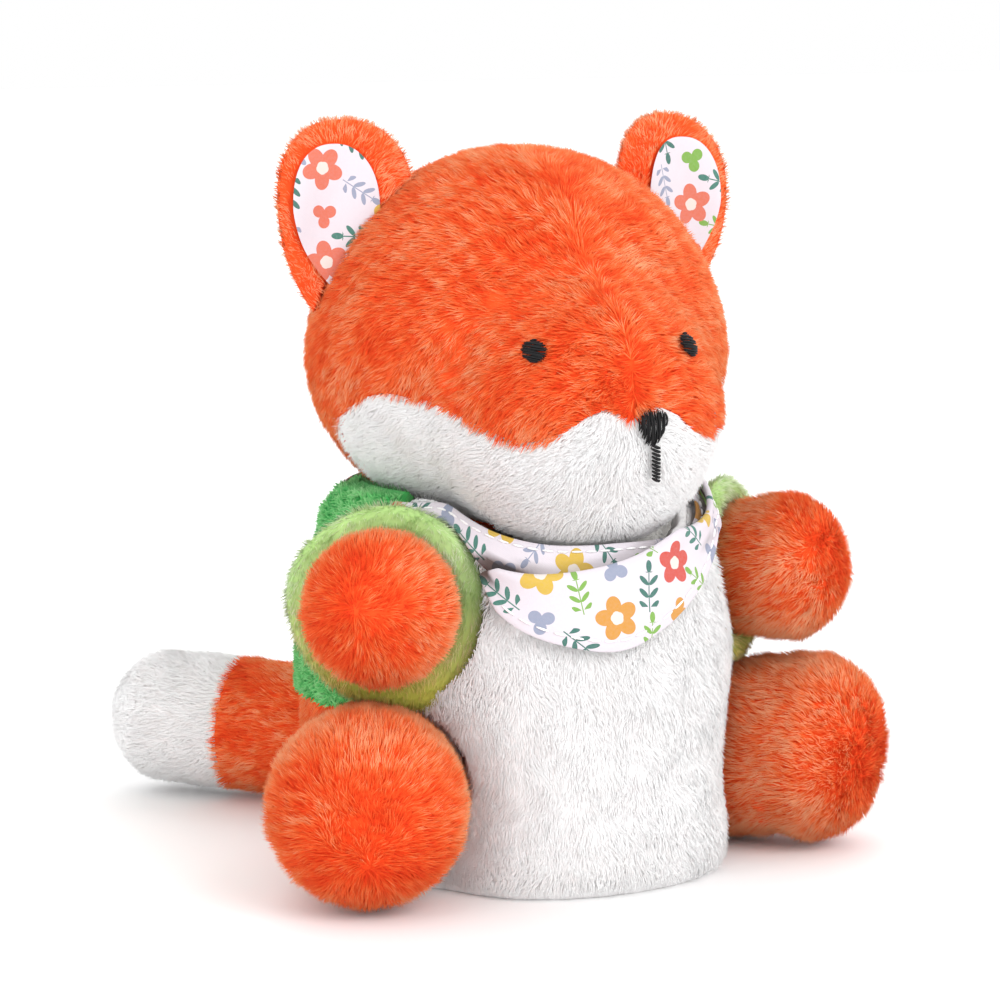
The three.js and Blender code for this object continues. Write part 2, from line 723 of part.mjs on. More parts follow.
// Tail
const tailReach = tailLimb.length + 2 * tailLimb.endRadius;
const tailShell = limbForm(tailLimb, 0, detail.limb).subtract(limbForm(tailLimb, -SKIN, detail.limbInside));
add('tail_base', tailShell.intersect(limbSlice(tailLimb, tail.skinStart, tail.seam)), ORANGE, PLUSH);
add('tail_tip', tailShell.intersect(limbSlice(tailLimb, tail.seam + GAP, tailReach)), WHITE, PLUSH);
add('tail_filling', limbForm(tailLimb, -SKIN - GAP, detail.limbInside), FILLING, PLUSH);

// Kerchief
const clearOfMoving = (solid) => solid.subtract(headPath).subtract(armPath).subtract(mirrored(armPath));
add('kerchief_band', clearOfMoving(kerchiefTurn(bandEdges, kerchief.bandRoom)), PRINT, PLUSH);
const flapTurn = kerchiefTurn(flapEdges, kerchief.flapRoom).intersect(bellyWedge(0));
const flapParts = clearOfMoving(flapTurn).decompose();
const frontFlap = flapParts.reduce((most, part) => (part.volume() > most.volume() ? part : most));
add('kerchief_flap', frontFlap, PRINT, PLUSH);

export default model;
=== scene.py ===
"""A sitting plush fox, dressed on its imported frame. Shapes are worked out in millimetres."""
import math

import bpy
import numpy as np
from mathutils import Matrix, Vector


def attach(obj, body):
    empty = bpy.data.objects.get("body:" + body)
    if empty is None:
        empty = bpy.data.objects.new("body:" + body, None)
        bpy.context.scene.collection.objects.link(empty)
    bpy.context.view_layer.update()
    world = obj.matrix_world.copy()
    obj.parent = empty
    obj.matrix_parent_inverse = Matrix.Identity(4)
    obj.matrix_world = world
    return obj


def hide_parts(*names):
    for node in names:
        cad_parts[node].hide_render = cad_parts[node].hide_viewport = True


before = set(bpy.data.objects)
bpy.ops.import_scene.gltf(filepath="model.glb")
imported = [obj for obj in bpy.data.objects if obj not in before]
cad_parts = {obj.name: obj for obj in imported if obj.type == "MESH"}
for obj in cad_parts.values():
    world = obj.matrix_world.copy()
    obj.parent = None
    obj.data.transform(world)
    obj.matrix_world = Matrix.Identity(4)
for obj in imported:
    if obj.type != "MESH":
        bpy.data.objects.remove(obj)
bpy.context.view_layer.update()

MM = 0.001
SIDES = ((1, "left"), (-1, "right"))
UPRIGHT = np.array([0, 0, 1])


# Directions and smooth fields
def unit(v):
    """Vectors of length one along v."""
    return v / np.maximum(np.linalg.norm(v, axis=-1, keepdims=True), 1e-9)


def dot(a, b):
    """Product of each pair of vectors: the sum of their parts' products."""
    return np.einsum("ij,ij->i", a, b)


def ease(x, low, high):
    """Smooth step: 3t² - 2t³ of the share t of the way from low to high."""
    t = np.clip((np.asarray(x, float) - low) / (high - low), 0, 1)
    return t * t * (3 - 2 * t)


def mix(a, b, share):
    """Straight line from a to b."""
    return a + (b - a) * share


def heading(turn, rise):
    """Direction turn degrees from the front to the fox's left, and rise degrees up."""
    t, r = np.radians(turn), np.radians(rise)
    return np.stack(np.broadcast_arrays(np.sin(t) * np.cos(r), -np.cos(t) * np.cos(r), np.sin(r)), -1)


def turned(points, degrees, middle=(0, 0, 0)):
    """Points turned about the upright line through middle."""
    a = math.radians(degrees)
    turn = np.array([[math.cos(a), math.sin(a), 0], [-math.sin(a), math.cos(a), 0], [0, 0, 1]])
    return (points - np.asarray(middle)) @ turn + np.asarray(middle)


def ripple(points, wave, seed, waves=9):
    """Smooth random field near -1 to 1: a sum of sines of about one wavelength in random directions."""
    r = np.random.default_rng(seed)
    k = unit(r.normal(size=(waves, 3))) * (2 * np.pi / (wave * r.uniform(0.7, 1.5, (waves, 1))))
    return np.sin(points @ k.T + r.uniform(0, 2 * np.pi, waves)).sum(-1) * math.sqrt(2 / waves) * 0.7


# Forms: head, body, limbs, ears
HEAD = np.array([0, -1.6, 136])
HEAD_TURN = -8
NECK_TURNS = (-5, 16)
MUZZLE = heading(0, -21.5)


def head_radius(d):
    """Egg of three half axes whose width swells at the cheeks, plus a bell-shaped muzzle."""
    level = (d[..., 2] + 0.25) / 0.5
    width = 54.3 + 3.2 * np.exp(-level * level)
    axes = np.stack([width, np.where(d[..., 1] < 0, 46, 48.6), 51.3 + 0 * level], -1)
    away = np.arccos(np.clip(d @ MUZZLE, -1, 1)) / math.radians(39.5)
    return 1 / np.linalg.norm(d / axes, axis=-1) + 22.3 * np.exp(-(away**4))


def head_point(d, lift=0.0):
    """Point of the head along direction d from its middle, lifted, and turned with the head."""
    return turned(HEAD + d * (head_radius(d) + lift)[..., None], HEAD_TURN, HEAD)


def head_surface(u, v):
    """Head as a round form: u goes round, v from the top down."""
    return head_point(heading(360 * u, 90 - 180 * v))


BODY_MIDDLE = np.array([0, -2, 0])
WAIST = 42


def body_round(points):
    """Degrees round the body from its front."""
    away = points - BODY_MIDDLE
    return np.degrees(np.arctan2(away[..., 0], -away[..., 1]))


def from_middle(points):
    """Distance from the body's upright middle line."""
    return np.linalg.norm((points - BODY_MIDDLE)[..., :2], axis=-1)


def round_place(degrees, radius, z):
    """Point at a height, radius away from the body's upright middle line."""
    return heading(degrees, 0) * radius[..., None] + BODY_MIDDLE + z[..., None] * UPRIGHT


def body_radius(z, lift, degrees):
    """Superellipse about the upright axis, spread by the beans low down, and dented by the legs."""
    upper = z > WAIST
    height = np.where(upper, 68, 50) + lift
    power = np.where(upper, 2.8, 7)
    share = np.minimum(1, np.abs(z - WAIST) / height)
    beans = 3 * np.exp(-(((z - 5) / 15) ** 2))
    from_leg = np.abs((degrees + 180) % 360 - 180) - 58
    dent = 10 * np.exp(-((from_leg / 17) ** 2) - ((z - 12) / 30) ** 2)
    return (58 + lift + beans - dent) * (1 - share**power) ** (1 / power)


def body_side(lift):
    """Body's side: u goes round, and v straight down from the shoulders to the seat."""

    def place(u, v):
        z = mix(100.0, 0.8, v)
        return round_place(360 * u, body_radius(z, lift, 360 * u), z)

    return place


class Limb:
    """A limb about its line, from its pivot's round root to its round end."""

    def __init__(self, pivot, line, length, root, end, turns, side=1):
        flip = np.array([side, 1, 1])
        self.pivot, self.line = np.array(pivot) * flip, unit(np.array(line)) * flip
        self.length, self.root, self.end = length, root, end
        first, last = turns
        self.turns = [-side * t for t in (first, first / 2, 0, last / 2, last)]
        self.across = unit(np.cross([0, 0, 1], self.line)) * side
        self.over = unit(np.cross(self.line, self.across)) * side
        self.far = self.pivot + self.line * length

    def outward(self, turn):
        """Direction square to the line, turn radians round it."""
        return np.cos(turn)[..., None] * self.across + np.sin(turn)[..., None] * self.over

    def surface(self, lift=0.0):
        """The radius and the place along the line both ease from the root's to the end's."""

        def place(u, v):
            turn = np.pi * v
            outer = ease(np.cos(turn), -0.4, 0.4)
            radius = mix(self.root, self.end, outer) + lift
            along = (outer * self.length + radius * np.cos(turn))[..., None] * self.line
            return self.pivot + along + (radius * np.sin(turn))[..., None] * self.outward(2 * np.pi * u)

        return place

    def along(self, points):
        """Distance along the line from the pivot."""
        return (points - self.pivot) @ self.line

    def between(self, start, end=1e3):
        """Test for points between two distances along the line."""
        return lambda p: (self.along(p) > start) & (self.along(p) < end)

    def nearest(self, points):
        """Nearest point of the line, and its share of the length."""
        share = np.clip(self.along(points) / self.length, 0, 1)
        return self.pivot + share[..., None] * self.length * self.line, share

    def core(self, points):
        """Nearest point of the line."""
        return self.nearest(points)[0]

    def depth(self, points):
        """How far inside the limb's form a point is: its radius less the distance from its line."""
        core, share = self.nearest(points)
        return mix(self.root, self.end, share) - np.linalg.norm(points - core, axis=-1)

    def swept(self, points):
        """How far inside the space that the limb passes through a point is."""
        return np.max([self.depth(turned(points, t, self.pivot)) for t in self.turns], axis=0)


SHOULDER, ARM_LINE, ARM_TURNS = (46, -12, 73), heading(36, 5), (-3, 15)


def arm(side):
    """The arm, from its shoulder to its paw."""
    return Limb(SHOULDER, ARM_LINE, 25, 12.5, 20.8, ARM_TURNS, side)


def cuffed(side):
    """The arm's form as far as its cuff, with the cuff on it."""
    return Limb(SHOULDER, ARM_LINE, 12.5, 17.2, 24.7, ARM_TURNS, side)


def leg(side):
    """The leg, from its hip to its sole."""
    return Limb((49, -10, 27.5), heading(35, -1), 28, 18, 26.5, (-2, 18), side)


TAIL = Limb((0, 58, 19), heading(216, 2), 68, 18, 20, (-18, 18))
MOVING = [form(side) for form in (arm, cuffed, leg) for side in (1, -1)] + [TAIL]


def head_depth(points):
    """How far inside the space that the turning head passes through a point is."""
    reach = []
    for further in np.linspace(*NECK_TURNS, 5):
        away = turned(points, -HEAD_TURN - further, HEAD) - HEAD
        reach.append(head_radius(unit(away)) - np.linalg.norm(away, axis=-1))
    return np.max(reach, axis=0)


SWEEPS = [limb.swept for limb in MOVING] + [head_depth]


def swept(points):
    """How far inside the space that any moving form passes through a point is."""
    return np.max([form(points) for form in SWEEPS], axis=0)


EAR_FOOT, EAR_TIP = np.array([45.5, 5.5, 143]), np.array([47, 7, 194])
EAR_HEIGHT = float(np.linalg.norm(EAR_TIP - EAR_FOOT))
EAR_UP = unit(EAR_TIP - EAR_FOOT)
EAR_OUT = unit(np.cross(EAR_UP, heading(8, 0)))
EAR_FRONT = unit(np.cross(EAR_OUT, EAR_UP))
EAR_HALF = 18
WIDEST = 0.59
LINING_FOOT, LINING_HEIGHT = 4, 41


def leaf_width(share, width, foot):
    """Half width of a leaf: round above its widest place, and tapering to foot of it below."""
    low = width * (1 - (1 - foot) * np.clip((WIDEST - share) / WIDEST, 0, 1) ** 2.2)
    climb = np.clip((share - WIDEST) / (1 - WIDEST), 0, 1)
    return np.where(share < WIDEST, low, width * np.maximum(1 - climb**2.3, 0) ** (1 / 2.3))


def ear_width(share):
    """Half width of the ear at a share of its height."""
    return leaf_width(share, EAR_HALF, 0.42)


def lining_leaf(climb):
    """Middle and half width of the lining at a share of its own height."""
    return 3 * np.minimum(1, climb / WIDEST), leaf_width(climb, 11.5, 0)


def ear_point(across, share, forward, side):
    """Point of an ear's cupped leaf, turned with the head."""
    cup = 4 * (across / EAR_HALF) ** 2 + forward
    flat = EAR_FOOT + across[..., None] * EAR_OUT + share[..., None] * EAR_HEIGHT * EAR_UP
    return turned((flat + cup[..., None] * EAR_FRONT) * [side, 1, 1], HEAD_TURN, HEAD)


def ear_thick(rim):
    """Half thickness of the leaf: a round roll at its edge, fatter on the side of the head's middle."""
    return 4 * (1 + 0.6 * ease(-rim, 0, 1)) * np.sqrt(np.maximum(0, 1 - np.abs(rim) ** 4))


def pole_to_pole(v):
    """Share of a round form's length, slow near both poles."""
    return (1 - np.cos(np.pi * v)) / 2


def ear_surface(side, fat):
    """Ear as a round form about its middle line."""

    def place(u, v):
        share, turn = pole_to_pole(v), 2 * np.pi * u
        across = np.cos(turn) * ear_width(share) * np.where(v <= 0, 0, 1)
        tight = np.where(v > 0.5, np.sqrt(np.maximum(np.sin(np.pi * v), 0)), 1)
        return ear_point(across, share, np.sin(turn) * ear_thick(np.cos(turn)) * tight * fat, side)

    return place


# Meshes
def corner_points(points, faces):
    """The three corners of each triangle."""
    return (points[faces[:, k]] for k in range(3))


def face_cross(points, faces):
    """Each triangle's outward direction, as long as twice its area."""
    a, b, c = corner_points(points, faces)
    return np.cross(b - a, c - a)


def one_side(points, faces):
    """Area of one side of a thin closed sheet, in square metres."""
    return np.linalg.norm(face_cross(points, faces), axis=-1).sum() / 4 * MM * MM


def upright(points, faces):
    """Faces turned so that the closed mesh has its outside out."""
    a, b, c = corner_points(points, faces)
    return faces if dot(a, np.cross(b, c)).sum() > 0 else faces[:, ::-1]


def round_mesh(place, around, along):
    """Closed form with a pole at each end, from place(u, v)."""
    v, u = np.meshgrid(np.arange(1, along) / along, np.arange(around) / around, indexing="ij")
    ends = [place(np.zeros(1), np.full(1, float(e))) for e in (0, 1)]
    points = np.concatenate([ends[0], place(u, v).reshape(-1, 3), ends[1]])
    i, j = np.meshgrid(np.arange(around), np.arange(along - 2))
    at = lambda row, column: 1 + row * around + column % around
    quads = [[at(j, i), at(j + 1, i), at(j + 1, i + 1)], [at(j, i), at(j + 1, i + 1), at(j, i + 1)]]
    faces = [np.stack([q.ravel() for q in quad], -1) for quad in quads]
    k = np.arange(around)
    faces.append(np.stack([0 * k, at(0, k), at(0, k + 1)], -1))
    faces.append(np.stack([at(along - 2, k), 0 * k + len(points) - 1, at(along - 2, k + 1)], -1))
    faces = np.concatenate(faces)
    return points, upright(points - points.mean(0), faces)


def ring_mesh(place, around, across):
    """Closed form like a tyre, from place(u, v), with each face corner's u and v."""
    u, v = np.meshgrid(np.arange(around) / around, np.arange(across) / across, indexing="ij")
    points = place(u, v).reshape(-1, 3)
    i, j = (a.ravel() for a in np.meshgrid(np.arange(around), np.arange(across), indexing="ij"))
    steps = np.array([[0, 0], [1, 0], [1, 1], [0, 0], [1, 1], [0, 1]])
    row, column = i[:, None] + steps[:, 0], j[:, None] + steps[:, 1]
    faces = ((row % around) * across + column % across).reshape(-1, 3)
    corners = np.stack([row / around, column / across], -1).reshape(-1, 3, 2)
    flipped = upright(points - points.mean(0), faces)
    return points, flipped, corners if flipped is faces else corners[:, ::-1]


def placed(name, data):
    """A new object in the scene."""
    made = bpy.data.objects.new(name, data)
    bpy.context.scene.collection.objects.link(made)
    return made


def make(name, points, faces, body, replaces, slot, material, tone=None, cloth=None, normals=None):
    """A finished piece from points in millimetres and triangles. tone and normals hold one row a point, and
    cloth one place a corner."""
    data = bpy.data.meshes.new(name)
    data.vertices.add(len(points))
    data.vertices.foreach_set("co", (points * MM).astype(np.float32).ravel())
    data.loops.add(faces.size)
    data.loops.foreach_set("vertex_index", faces.astype(np.int32).ravel())
    data.polygons.add(len(faces))
    data.polygons.foreach_set("loop_start", np.arange(0, faces.size, 3, dtype=np.int32))
    data.update(calc_edges=True)
    data.polygons.foreach_set("use_smooth", np.ones(len(faces), bool))
    if tone is not None:
        data.attributes.new("tone", "FLOAT", "POINT").data.foreach_set("value", tone.astype(np.float32))
    if cloth is not None:
        data.uv_layers.new(name="cloth").data.foreach_set("uv", cloth.astype(np.float32).ravel())
    if normals is not None:
        data.normals_split_custom_set_from_vertices(normals.astype(np.float32))
    data.validate()
    piece = placed(name, data)
    data.materials.append(material)
    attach(piece, body)
    if replaces:
        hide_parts(*replaces)
    return piece


def node_mesh(name):
    """A copy of a CAD node's triangles in millimetres, with doubles merged."""
    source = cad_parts[name].data
    points = np.zeros(len(source.vertices) * 3, np.float32)
    source.vertices.foreach_get("co", points)
    source.calc_loop_triangles()
    faces = np.zeros(len(source.loop_triangles) * 3, np.int32)
    source.loop_triangles.foreach_get("vertices", faces)
    keys = np.round(points.reshape(-1, 3).astype(float) / MM, 3)
    merged, index = np.unique(keys, axis=0, return_inverse=True)
    faces = index.ravel()[faces].reshape(-1, 3)
    real = (faces[:, 0] != faces[:, 1]) & (faces[:, 1] != faces[:, 2]) & (faces[:, 2] != faces[:, 0])
    return merged, faces[real]


def drawn_in(points, depth, core, sink):
    """The outer side of a skin moved in by sink, to make room for its pile."""
    outer = depth(points) < 2
    return points - np.where(outer, sink, 0)[:, None] * unit(points - core(points))


# Pile: fine spikes rooted on a form
POLE = 0.004
# The pile's roots and the skin under it are painted in a darker tone, as the shade deep in the pile, and the
# spikes' tips in a lighter one, as the light on its surface.
SHADED_ROOT_TONE, LIT_TIP_TONE, SHADED_SKIN_TONE = -0.24, 0.22, 0.3
LOCK = 12
THIRD = 2 * np.pi / 3
SPIKE = np.array([[0, 1, 3], [1, 2, 3], [2, 0, 3], [0, 2, 1]])


def scatter(surface, per_mm2, seed, keep=None, cells=(150, 100)):
    """Random roots on surface(u, v), as many to each cell as its area asks, and the directions out of it."""
    r = np.random.default_rng(seed)
    around, along = cells
    rows, columns = np.linspace(0, 1, around + 1), np.linspace(POLE, 1 - POLE, along + 1)
    p = surface(*np.meshgrid(rows, columns, indexing="ij"))
    cross = np.cross(p[1:, :-1] - p[:-1, :-1], p[:-1, 1:] - p[:-1, :-1])
    area = np.linalg.norm(cross, axis=-1).ravel()
    many = int(area.sum() * per_mm2)
    cell = r.choice(len(area), many, p=area / area.sum())
    i, j = cell // along, cell % along
    u = (i + r.random(many)) / around
    v = POLE + (1 - 2 * POLE) * (j + r.random(many)) / along
    step = POLE / 2
    at = surface(u, v)
    out = unit(np.cross(surface(u + step, v) - at, surface(u, np.minimum(v + step, 0.999)) - at))
    out *= np.sign(dot(out, at - p.reshape(-1, 3).mean(0)).sum())
    if keep is not None:
        kept = keep(at)
        u, v, at, out = u[kept], v[kept], at[kept], out[kept]
    return u, v, at, out


def scatter_faces(points, faces, chosen, per_mm2, seed):
    """Random roots on a mesh's faces that chosen(middle) picks, with the faces' directions."""
    r = np.random.default_rng(seed)
    a, b, c = corner_points(points, faces)
    across = face_cross(points, faces)
    area = np.linalg.norm(across, axis=-1) / 2 * chosen((a + b + c) / 3)
    face = r.choice(len(area), int(area.sum() * per_mm2), p=area / area.sum())
    s, t = np.sqrt(r.random((len(face), 1))), r.random((len(face), 1))
    at = (1 - s) * a[face] + s * (1 - t) * b[face] + s * t * c[face]
    return at, unit(across[face])


def pile(
    at, out, flow, seed, length=2.8, width=0.28, rise=31, sink=1.3, wild=9, clear=None, dye=0.0, relief=0.7
):
    """Spikes with three sides: each starts sink under the surface, leans along flow at rise degrees, and
    swings with smooth fields so that neighbours lie in locks, and wild degrees more by chance. Each spike's
    tone is painted darker at its root, as the shade deep in the pile, and lighter at its tip, as the light on
    the pile. dye is added to their tone, and on the limbs it holds the shade painted round a swirl. relief
    rounds their shading."""
    r = np.random.default_rng(seed)
    many = len(at)
    flow = unit(flow - dot(flow, out)[:, None] * out)
    side = np.cross(out, flow)
    swing = np.radians(22 * ripple(at, LOCK, seed + 1) + wild * r.normal(size=many))[:, None]
    lean = flow * np.cos(swing) + side * np.sin(swing)
    lift = np.radians(rise * (1 + 0.22 * ripple(at, 0.6 * LOCK, seed + 2)) + 6 * r.normal(size=many))[:, None]
    lock = ripple(at, 2.4, seed + 3)[:, None] * 0.2 * np.cross(out, lean)
    axis = unit(lean * np.cos(lift) + out * np.sin(lift) + lock)
    reach = length * (1 + 0.12 * r.normal(size=many) + 0.1 * ripple(at, 6, seed + 4)).clip(0.5, 1.5)
    root = at - sink * out
    tip = root + axis * reach[:, None]
    dye = np.broadcast_to(dye, many)
    if clear is not None:
        kept = clear(tip)
        root, tip, axis, out, dye = (rows[kept] for rows in (root, tip, axis, out, dye))
        many = len(root)
    first = unit(np.cross(axis, out))
    second = np.cross(axis, first)
    spin = r.uniform(0, 2 * np.pi, many)[:, None] + np.array([0, THIRD, 2 * THIRD])
    thick = width / 2 * r.uniform(0.75, 1.25, many)[:, None, None]
    foot = np.cos(spin)[..., None] * first[:, None] + np.sin(spin)[..., None] * second[:, None]
    points = np.concatenate([root[:, None] + thick * foot, tip[:, None]], 1).reshape(-1, 3)
    faces = (np.arange(many)[:, None, None] * 4 + SPIKE).reshape(-1, 3)
    chance = 0.1 * r.normal(size=many)
    shade = 0.5 + dye + chance + 0.13 * ripple(root, 3.6, seed + 5) + 0.1 * ripple(root, 15, seed + 6)
    # Painted shade and light: each root darker, each tip lighter.
    tone = np.stack([shade + SHADED_ROOT_TONE] * 3 + [shade + LIT_TIP_TONE], 1).clip(0.02, 0.98)
    normals = [out[:, None] + relief * foot, out[:, None] + relief * axis[:, None]]
    return points, faces, tone.ravel(), unit(np.concatenate(normals, 1)).reshape(-1, 3)


def joined(parts):
    """Several meshes in one: their arrays end to end, and the faces' numbers moved on."""
    starts = np.cumsum([0] + [len(part[0]) for part in parts[:-1]])
    moved = [(points, faces + start, *more) for (points, faces, *more), start in zip(parts, starts)]
    return [np.concatenate(arrays) for arrays in zip(*moved)]


def furred(node, points, faces, tufts, body, slot):
    """One piece in a CAD node's place: a closed skin in a deep tone, and the pile on it."""
    lean, across = np.zeros_like(points), face_cross(points, faces)
    for k in range(3):
        np.add.at(lean, faces[:, k], across)
    # The skin is painted in the roots' shaded tone.
    skin = (points, faces, np.full(len(points), SHADED_SKIN_TONE), unit(lean))
    points, faces, tone, normals = joined([skin, *tufts])
    piece = make(node + "_fur", points, faces, body, [node], slot, PLUSH[slot], tone=tone, normals=normals)


# Materials
def colour(text):
    """Linear colour from a web colour. A colour in numbers stays."""
    if not isinstance(text, str):
        return text
    part = np.array([int(text[k : k + 2], 16) for k in (0, 2, 4)]) / 255
    linear = np.where(part < 0.04045, part / 12.92, ((part + 0.055) / 1.055) ** 2.4)
    return (*linear, 1)


class Wire:
    """A socket of a material, with arithmetic: each operation on values adds its Math node."""

    def __init__(self, finish, socket):
        self.finish, self.socket = finish, socket

    def math(self, operation, *values):
        return self.finish.node("ShaderNodeMath", {"operation": operation}, *values)

    def to(self, operation, *others):
        return self.math(operation, self, *others)

    def __add__(self, other):
        return self.to("ADD", other)

    def __sub__(self, other):
        return self.to("SUBTRACT", other)

    def __mul__(self, other):
        return self.to("MULTIPLY", other)

    def __truediv__(self, other):
        return self.to("DIVIDE", other)

    def __lt__(self, other):
        return self.to("LESS_THAN", other)

    def __rsub__(self, other):
        return self.math("SUBTRACT", other, self)

    __radd__, __rmul__ = __add__, __mul__


class Finish:
    """A material with one Principled shader."""

    def __init__(self, name, **constants):
        self.material = bpy.data.materials.new(name)
        self.material.use_nodes = True
        self.tree = self.material.node_tree
        self.tree.nodes.clear()
        self.shader = self.tree.nodes.new("ShaderNodeBsdfPrincipled")
        out = self.tree.nodes.new("ShaderNodeOutputMaterial")
        self.tree.links.new(self.shader.outputs[0], out.inputs[0])
        for key, value in constants.items():
            self.shader.inputs[key.replace("_", " ")].default_value = value

    def fill(self, socket, value):
        """Link a wire to a socket, or set its value."""
        if isinstance(value, Wire):
            self.tree.links.new(value.socket, socket)
        else:
            socket.default_value = value

    def node(self, kind, settings, *values, take=0, **named):
        """A node of this type with its settings and its sockets' values or links. take names the output."""
        made = self.tree.nodes.new(kind)
        stops = settings.pop("stops", None)
        for key, value in settings.items():
            setattr(made, key, value)
        if stops:
            while len(made.color_ramp.elements) < len(stops):
                made.color_ramp.elements.new(0.5)
            for element, (place, shade) in zip(made.color_ramp.elements, stops):
                element.position, element.color = place, shade
        for key, value in [*enumerate(values), *named.items()]:
            self.fill(made.inputs[key if isinstance(key, int) else key.replace("_", " ")], value)
        return Wire(self, made.outputs[take])

    def set(self, **links):
        for key, wire in links.items():
            self.fill(self.shader.inputs[key.replace("_", " ")], wire)
        return self.material

    def places(self):
        return self.node("ShaderNodeTexCoord", {}, take="Object")

    def part(self, vector, axis):
        return self.node("ShaderNodeSeparateXYZ", {}, vector, take=axis)

    def tone(self):
        return self.node("ShaderNodeAttribute", {"attribute_name": "tone"}, take="Fac")

    def noise(self, where, scale, detail=3.0):
        return self.node("ShaderNodeTexNoise", {}, Vector=where, Scale=scale, Detail=detail)

    def ramp(self, value, *stops):
        return self.node("ShaderNodeValToRGB", {"stops": [(place, colour(c)) for place, c in stops]}, value)

    def blend(self, share, a, b, how="MIX"):
        made = self.node("ShaderNodeMix", {"data_type": "RGBA", "blend_type": how}, share, take=2)
        for socket, value in zip((made.socket.node.inputs[6], made.socket.node.inputs[7]), (a, b)):
            self.fill(socket, colour(value))
        return made

    def bump(self, height, strength, distance):
        return self.node("ShaderNodeBump", {}, Strength=strength, Distance=distance, Height=height)


def plush(name, root_shade, low, middle, tip, sheen, under=None):
    """Pile: each spike's tone runs from painted shade at its root to painted light at its tip, over broad
    uneven patches of dye. under tints it in full up to 52 millimetres, and not at all above 78."""
    hair = {"Sheen_Weight": 0.3, "Sheen_Roughness": 0.5, "Sheen_Tint": colour(sheen)}
    f = Finish(name, Specular_IOR_Level=0.08, **hair)
    level = f.tone() + (f.noise(f.places(), 42.0) - 0.5) * 0.3
    shade = f.ramp(level, (0.0, root_shade), (0.3, low), (0.58, middle), (0.95, tip))
    if under:
        low_down = f.ramp(f.part(f.places(), 2) * 10, (0.52, "ffffff"), (0.78, "000000"))
        shade = f.blend(low_down, shade, under, "MULTIPLY")
    return f.set(Base_Color=shade, Roughness=0.8 + f.noise(f.places(), 900.0, 2.0) * 0.18)


# In each pile the first colours are the painted shade of the roots, and the last ones the painted light on
# the tips.
PLUSH = {
    "orange_plush": plush("orange_plush", "ea3a1c", "f85324", "fd7840", "ffb387", "ffa870"),
    "white_plush": plush("white_plush", "fbf8f7", "fdfbfb", "fefefe", "ffffff", "ffffff"),
    "green_plush": plush("green_nubby_plush", "2f9448", "46ac58", "6cc671", "a3df9c", "b6e6ae"),
    "pale_green_plush": plush(
        "pale_green_plush", "8fbb60", "b2d488", "d3e8b0", "f4fbe4", "dcefbe", under="ffd694"
    ),
}


